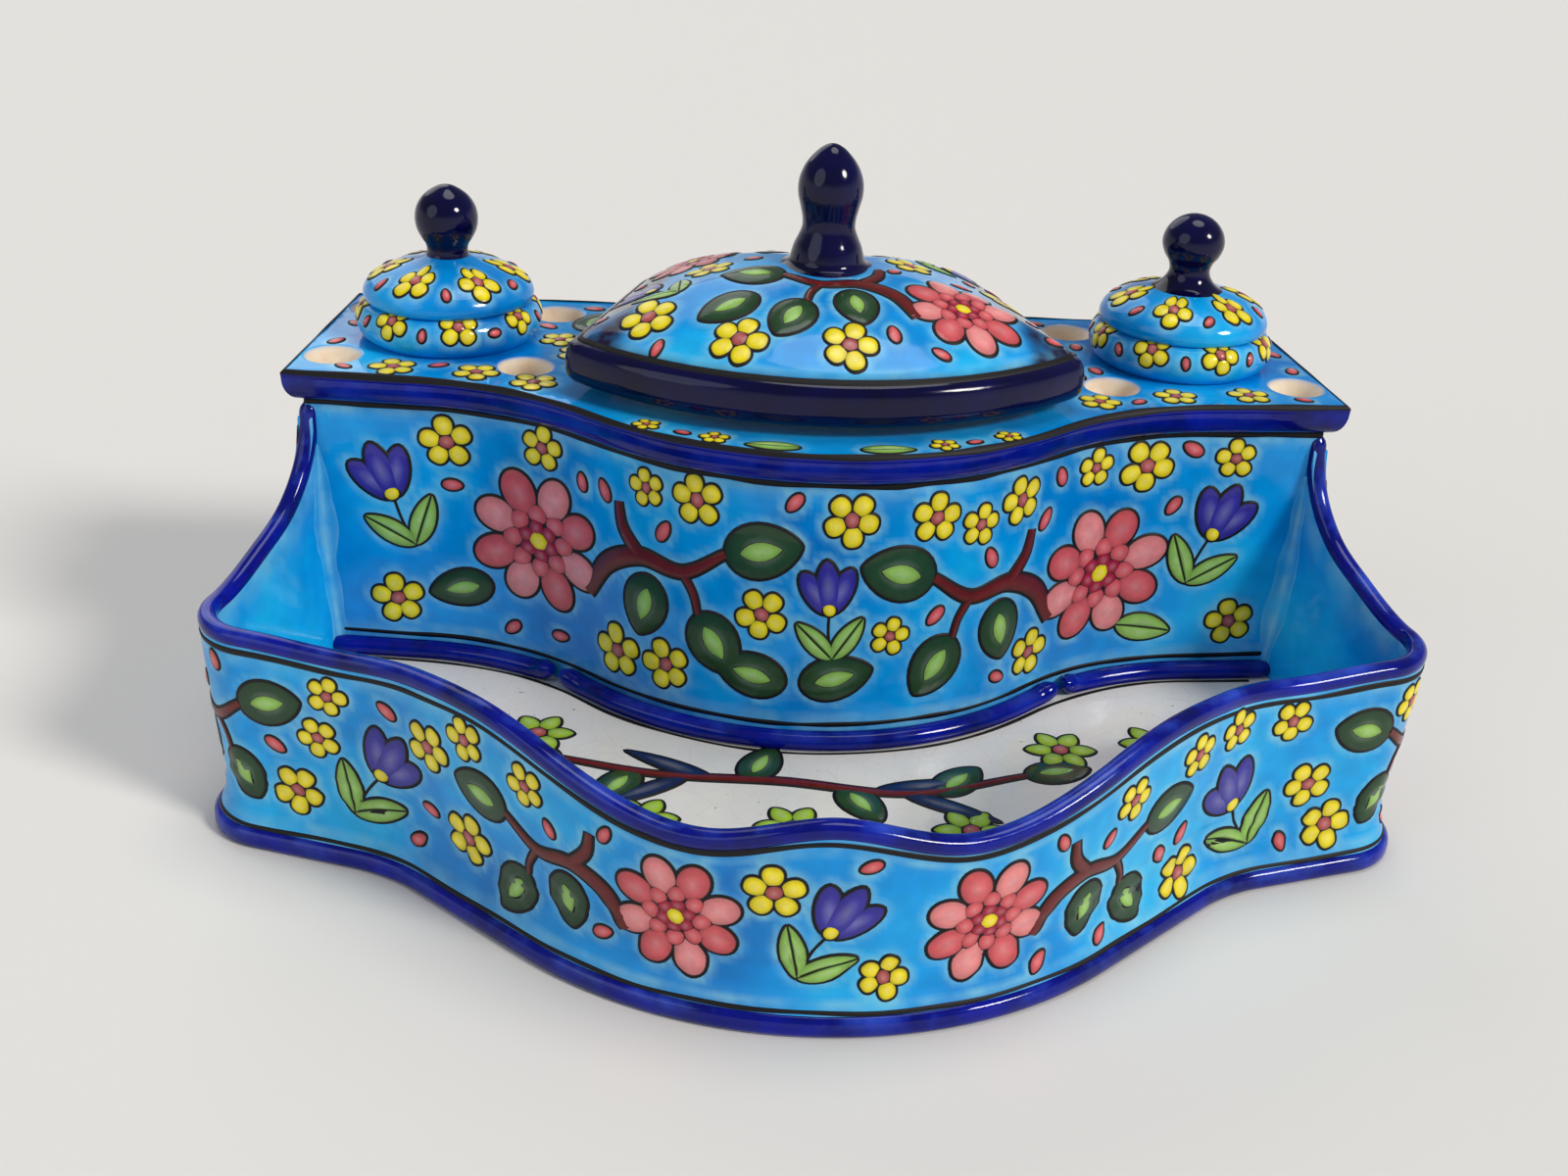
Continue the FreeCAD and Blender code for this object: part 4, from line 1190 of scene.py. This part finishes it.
def turned_surface(profile, centre, base):
    """Flat coordinates of a turned face: along the round at its widest, and along the profile."""
    profile = np.asarray(profile, float)
    lengths = run_lengths(profile)
    slope = units(np.gradient(profile, axis=0))
    widest = profile[:, 0].max()

    def surface(u, v, height):
        radius, z, out, up = (np.interp(v, lengths, row)
                              for row in (profile[:, 0], profile[:, 1], slope[:, 1], -slope[:, 0]))
        radius, z, angle = radius + out * height, z + up * height, u / widest
        x, y = centre[0] + radius * np.cos(angle), centre[1] + radius * np.sin(angle)
        return np.column_stack([x, y, base + z])
    return surface, lengths, widest


def line_through(points, count):
    """A smooth profile through pairs of radius and height."""
    points = np.asarray(points, float)
    lengths = run_lengths(points)
    x = np.linspace(0, lengths[-1], count)
    radius, height = (curve(lengths, points[:, i], x) for i in (0, 1))
    return np.column_stack([np.maximum(radius, 0.02), height])


COLLAR = line_through(((20.6, 0.0), (22.4, 1.6), (23.3, 4.4), (22.7, 7.2), (21.0, 9.1), (19.8, 9.4)), 18)
LID_DOME = line_through(((19.9, 0.0), (21.1, 0.8), (21.4, 2.2), (20.7, 4.1), (15.8, 7.5), (9.8, 9.5),
                         (6.6, 10.5), (5.0, 11.4)), 26)
KNOBS = {
    "left": line_through(((5.4, 0.0), (5.1, 1.2), (5.35, 2.8), (6.4, 4.5), (7.45, 6.8), (7.8, 9.6),
                          (7.2, 12.4), (5.7, 14.7), (3.4, 16.5), (1.5, 17.4), (0.02, 17.6)), 44),
    "right": line_through(((9.9, -1.9), (7.6, -0.7), (5.9, 1.0), (5.1, 3.0), (5.5, 5.0), (7.0, 7.4),
                           (7.8, 10.2), (7.2, 13.0), (5.0, 15.8), (2.0, 17.3), (0.02, 17.6)), 48)}
FINIAL = line_through(((12.4, -1.3), (11.3, -0.5), (9.8, 0.1), (9.1, 0.9), (8.75, 2.3), (8.2, 4.2),
                       (7.2, 6.4), (6.4, 8.7), (6.45, 10.7), (7.0, 13.2), (7.8, 16.8), (7.75, 19.4),
                       (6.6, 22.9), (4.4, 25.9), (2.5, 27.6), (1.1, 28.3), (0.02, 28.5)), 64)


def ring_art(profile, centre, base, seed, rows):
    """Small flowers and buds round a turned face."""
    surface, lengths, widest = turned_surface(profile, centre, base)
    art = Art(surface, seed)
    length = 2 * math.pi * widest
    for v_share, count, size, phase in rows:
        for k in range(count):
            u = length * (k + phase) / count
            v = lengths[-1] * v_share + art.dice.uniform(-0.4, 0.4)
            if size > 3:
                art.blossom(u, v, size * art.dice.uniform(0.93, 1.07), art.dice.random() * 6)
            else:
                art.loose_bud(u, v, size)
    return art, lengths, widest


def turned_piece(side, kind, node, profile, base, seed, rows, below, above):
    """A painted turned piece on one side of the stand, bare below its painted profile."""
    centre, body = (SIDES[side] * POT_X, POT_Y), "%s_%s" % (side, kind)
    art, lengths, widest = ring_art(profile, centre, base, seed, rows)
    loops = turned(below + profile.tolist() + above, centre, base)
    piece = skin_object(body + "_glaze", loops, [TURQUOISE])
    count, height = loops.shape[1], len(lengths)
    u = np.linspace(0, 2 * math.pi * widest, count, endpoint=False)
    shifts = np.repeat((-1, 0, 1), height * count) * 2 * math.pi * widest
    values = art.halo(np.tile(u, height * 3) + shifts, np.tile(np.repeat(lengths, count), 3))
    halo, bare = np.zeros(loops.shape[:2]), np.zeros(loops.shape[:2])
    halo[len(below):len(below) + height] = values.reshape(3, height, count).max(axis=0)
    bare[:len(below)] = 1
    set_attribute(piece, "halo", halo.ravel())
    dress(piece, body, "turquoise_glaze", node)
    set_attribute(piece, "bare", bare.ravel())
    art.object(body + "_enamel", body)


def build_pots():
    for side, sign in SIDES.items():
        turned_piece(side, "pot", "%s_ink_pot" % side, COLLAR, DECK_Z, 71 + sign,
                     ((0.82, 8, 4.8, 0.3), (0.62, 8, 1.5, 0.8)),
                     [(0.05, -42), (15.4, -42), (17.0, -40.5), (17.0, 0.0)],
                     [(14.6, 9.4), (13.9, 8.8), (13.8, 0), (13.8, -36.5), (12.4, -38), (0.05, -38)])
        turned_piece(side, "lid", "%s_pot_lid" % side, LID_DOME, LID_Z, 81 + sign,
                     ((0.53, 6, 6.2, 0.1), (0.36, 6, 1.9, 0.6)),
                     [(0.05, 7.6), (9.6, 4.2), (11.0, 2.6), (11.0, -5), (13.2, -5), (13.2, 0.05)],
                     [(0.05, 11.4)])
        profile, overlap = KNOBS[side].tolist(), 0.3
        foot = [(0.05, profile[0][1] - overlap), (profile[0][0] - overlap, profile[0][1] - overlap)]
        loops = turned(foot + profile, (sign * POT_X, POT_Y), KNOB_Z, 72)
        knob = skin_object("%s_knob_glaze" % side, loops, [NAVY])
        dress(knob, "%s_lid" % side, "navy_glaze", "%s_lid_knob" % side)


# Lid in the middle

DOME_SHARES = (0.0, 0.14, 0.38, 0.60, 0.80, 0.93, 0.95)
DOME_RISES = (25.3, 24.9, 23.1, 19.8, 15.2, 10.9, 9.9)


def cover_share(u, v):
    """How far points lie from the lid's middle, as a share of the way to its edge."""
    arms = np.column_stack([u, v]) - cover_middle
    angle = np.arctan2(arms[:, 1], arms[:, 0])
    angle = (angle - cover_angles[0]) % (2 * math.pi) + cover_angles[0]
    angles = np.append(cover_angles, cover_angles[0] + 2 * math.pi)
    reach = np.interp(angle, angles, np.append(cover_reach, cover_reach[0]))
    return np.linalg.norm(arms, axis=1) / reach


def cover_surface(u, v, height):
    rise = curve(DOME_SHARES, DOME_RISES, cover_share(u, v))
    return np.column_stack([u, v, COVER_Z + rise + height])


def build_cover():
    art = Art(cover_surface, 91)

    def inside(u, v, size):
        finial_clear, art_edge = 14, 0.93
        reach = np.hypot(u, v - cover_middle[1])
        return (cover_share(u, v) < art_edge - size / 60) & (reach > finial_clear + size)

    art.spray(10, -5, 1, 0.86)
    art.bell(-42, 8, 11.5, math.radians(128))
    art.spray(-16, 32, -1, 0.66)
    art.leaf(-17, -7, math.radians(206), 14.5, 9.5)
    art.bell(32, 31, 9, math.radians(30))
    for u, v in ((-42, -9), (-21, -21.5), (4, -24)):
        art.loose_blossom(u, v, 6.4)
    low, high, dome_edge = (-60, -34), (60, 48), 0.945
    art.fill(low, high, inside, 2500, (5.2, 6.4), art.loose_blossom, 0.8)
    art.fill(low, high, inside, 700, (2.0, 2.6), art.loose_bud, 1.4)
    loop = cover_middle + cover_arms * dome_edge
    art.ribbon(np.concatenate([loop, loop[:1]]), np.full(len(loop) + 1, 1.4))

    pole = 0.012
    dome = np.concatenate([[pole], np.linspace(0.06, dome_edge, 44)])
    edge = ((0.962, 9.7), (0.982, 9.0), (0.995, 7.6), (1.0, 5.6), (1.0, 3.4), (0.994, 1.6), (0.98, 0.5),
            (0.962, 0.05))

    def ring_at(share, rise):
        return at_level(cover_middle + cover_arms * share, rise)

    rings = [ring_at(*pair) for pair in zip(dome, curve(DOME_SHARES, DOME_RISES, dome))]
    rings += [ring_at(*pair) for pair in edge]
    flange, hollow, flange_foot = cover_inset(14.8), cover_inset(17.8), -5.0
    rings += [at_level(flange, 0.05), at_level(flange, flange_foot)]
    rings += [at_level(hollow, flange_foot), at_level(hollow, 5.0)]
    rings += [ring_at(*pair) for pair in ((0.45, 13.0), (0.2, 17.5), (pole, 18.5))]
    rings = np.stack(rings) + np.array([0, 0, COVER_Z])
    size = len(cover_loop)
    counts = (len(dome) - 1, len(edge), len(rings) - len(dome) - len(edge))
    slots = np.append(np.repeat((0, 1, 2), np.multiply(counts, size)), (0, 2))
    piece = skin_object("centre_lid_glaze", rings, [TURQUOISE, NAVY, CLAY], face_slots=slots)
    flat = rings[:len(dome)].reshape(-1, 3)
    halo = np.zeros(rings.shape[:2])
    halo[:len(dome)] = art.halo(flat[:, 0], flat[:, 1]).reshape(len(dome), size)
    set_attribute(piece, "halo", halo.ravel())
    slant = (cover_front_half - cover_back_half) / (cover_back - cover_front)
    side_x = cover_front_half - (flat[:, 1] - cover_front) * slant
    away = np.abs(side_x - np.abs(flat[:, 0])) / math.hypot(1, slant)
    hip_width, hip_fade, rim_from, rim_fade = 17.0, 4.0, 0.915, 0.03
    hip = np.clip((hip_width - away) / hip_fade, 0, 1)
    hips = np.zeros(rings.shape[:2])
    hips[:len(dome)] = hip.reshape(len(dome), size)
    hips[:len(dome)] += np.clip((dome - rim_from) / rim_fade, 0, 1)[:, None]
    set_attribute(piece, "hip", np.clip(hips, 0, 1).ravel())
    dress(piece, "centre_cover", "turquoise_glaze", "centre_lid")
    art.object("centre_lid_enamel", "centre_cover")

    loops = turned([(0.05, -2.0), (13.0, -2.0)] + FINIAL.tolist(), cover_middle, FINIAL_Z, 80)
    finial = skin_object("centre_finial_glaze", loops, [NAVY])
    dress(finial, "centre_cover", "navy_glaze", "centre_lid_finial")


# Tray floor and coils

def build_floor():
    art = Art(level_surface(FLOOR_Z), 101)
    art.ribbon([(-60, -49), (-38, -55), (-8, -57), (22, -61), (50, -52)], [1.6, 2.4, 2.8, 2.4, 1.4], BROWN)
    for u, v, turn in ((-60, -49, 168), (-42, -54, 238), (-16, -57, 66), (6, -59, 300), (28, -61, 48),
                       (50, -52, 14)):
        art.leaf(u, v, math.radians(turn), 16, 9)
    for u, v, turn in ((-30, -56, 214), (-24, -57, 150), (14, -60, 12), (20, -61, 332)):
        art.cell(art.blade(u, v, math.radians(turn), 24, 4.6, 0.6, 0.9, 26), INK_BLUE)
    for u, v in ((-66, -38), (-6, -76), (34, -76), (60, -40), (-40, -74), (84, -36)):
        for k in range(6):
            angle = k * math.pi / 3
            art.cell(art.blade(*polar(u, v, 2, angle), angle, 6.5, 4.6, 0.55, 0.7), LIME)
        art.disc(u, v, 2.0, ROSE_EYE, 0.15)
    path = case_paths["front"]
    short, reach = 14, 4.7
    line = np.linspace(short - path.end, path.end - short, 160)
    art.ribbon(path.at(line, MOULDING - reach + 0.15 * np.sin(line / 7)), hand_width(len(line), 1.2, 103))
    art.object("floor_enamel", "stand")


def build_coils():
    """Rounded coils along the foot of the case, with ends that roll up."""
    path = case_paths["front"]
    gap, break_half, end_gap = along_front(COIL_BREAK_X), 1.5, 7.0
    spans = {"left": (-path.end + end_gap, -gap - break_half),
             "centre": (-gap + break_half, gap - break_half),
             "right": (gap + break_half, path.end - end_gap)}
    angles = round_angles(18)
    for side, (low, high) in spans.items():
        u = np.linspace(low, high, math.ceil((high - low) / 1.6))
        first, last = (np.exp(-(gone / 3.0) ** 2) for gone in (u - low, high - u))
        curl = first * (side != "left") + last * (side != "right")
        place = path.at(u, MOULDING - 1.9 - 1.3 * curl)
        spine = np.column_stack([place, FLOOR_Z + 1.9 + 2.2 * curl])
        section = bead_loop(angles, 2.6, 2.5, 1.0)
        taper = rounded_ends(len(u), 3) * (1 + 0.22 * curl)
        loops = sweep(spine, units(path.outward(u)), *section, taper)
        piece = skin_object("coil_%s_glaze" % side, loops, [COBALT])
        set_attribute(piece, "thin", np.tile(np.clip(np.sin(angles), 0, 1) * 0.5, len(u)))
        dress(piece, "stand", "navy_glaze", "floor_coil_%s" % side)


# Stage

def build_stage():
    """Plain pale floor."""
    paper = bpy.data.materials.new("paper")
    paper.use_nodes = True
    shader = paper.node_tree.nodes["Principled BSDF"]
    shader.inputs["Roughness"].default_value = 0.9
    shader.inputs["Base Color"].default_value = (*srgb(228, 226, 222), 1)
    mesh = bpy.data.meshes.new("table")
    reach = 8
    corners = [(-reach, -reach, 0), (reach, -reach, 0), (reach, reach, 0), (-reach, reach, 0)]
    mesh.from_pydata(corners, [], [(0, 1, 2, 3)])
    mesh.materials.append(paper)
    stage = bpy.data.objects.new("table", mesh)
    bpy.context.scene.collection.objects.link(stage)


def add_light(name, angle, place, power, colour):
    """Parallel light that comes from a place, softened by an angle in degrees."""
    lamp = bpy.data.lights.new(name, "SUN")
    lamp.energy, lamp.color, lamp.angle = power, colour, math.radians(angle)
    holder = bpy.data.objects.new(name, lamp)
    holder.location = place
    holder.rotation_euler = Vector(place).to_track_quat("Z", "Y").to_euler()
    bpy.context.scene.collection.objects.link(holder)


def build_lights():
    """Soft even light from four sides, and a surround that is pale near the floor."""
    add_light("key", 14, (1.15, -0.8, 1.0), 2.1, (1.0, 0.96, 0.9))
    add_light("fill", 40, (-1.1, -0.85, 0.7), 0.5, (0.84, 0.92, 1.0))
    add_light("top", 30, (0.2, 0.2, 1.5), 0.8, (1, 1, 1))
    add_light("rear", 40, (-0.6, 1.3, 0.9), 0.5, (1, 1, 1))
    world = bpy.data.worlds.new("studio")
    bpy.context.scene.world = world
    world.use_nodes = True
    tree = world.node_tree
    back = tree.nodes["Background"]
    back.inputs["Color"].default_value = (0.94, 0.95, 1.0, 1)
    way = tree.nodes.new("ShaderNodeTexCoord")
    parts = tree.nodes.new("ShaderNodeSeparateXYZ")
    level = tree.nodes.new("ShaderNodeMapRange")
    for name, value in (("From Min", 0.08), ("From Max", 0.3), ("To Min", 0.75), ("To Max", 0.2)):
        level.inputs[name].default_value = value
    tree.links.new(way.outputs["Generated"], parts.inputs["Vector"])
    tree.links.new(parts.outputs["Z"], level.inputs["Value"])
    tree.links.new(level.outputs["Result"], back.inputs["Strength"])
    bpy.context.scene.view_settings.view_transform = "Standard"


def build_camera():
    """Camera fitted to the photograph."""
    yaw, pitch, roll, focal, image_width, sensor = 0.0501425, 0.4532, 0.0512128, 1850.26, 1600, 36.0
    place = Vector((-27.736, -415.065 + SHIFT_Y, 246.539)) * MM
    ahead = Vector((math.sin(yaw) * math.cos(pitch), math.cos(yaw) * math.cos(pitch), -math.sin(pitch)))
    right = Vector((math.cos(yaw), -math.sin(yaw), 0))
    up = right.cross(ahead)
    across = right * math.cos(roll) + up * math.sin(roll)
    upright = up * math.cos(roll) - right * math.sin(roll)
    data = bpy.data.cameras.new("camera")
    data.sensor_fit, data.sensor_width, data.lens = "HORIZONTAL", sensor, sensor * focal / image_width
    data.clip_start = 0.01
    camera = bpy.data.objects.new("camera", data)
    turn = Matrix((across, upright, -ahead)).transposed().to_4x4()
    camera.matrix_world = Matrix.Translation(place) @ turn
    bpy.context.scene.collection.objects.link(camera)
    bpy.context.scene.camera = camera


def paint_solids():
    """Materials of the solids that show as they are."""
    for name, material in (("floor_slab", CREAM), ("stamp_well", CLAY)):
        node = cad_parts[name]
        node.data.materials.clear()
        node.data.materials.append(material)


build_gallery()
build_bead()
build_corner_joints()
build_foot()
build_case()
build_moulding()
build_deck()
build_pots()
build_cover()
build_floor()
build_coils()
paint_solids()
build_stage()
build_lights()
build_camera()
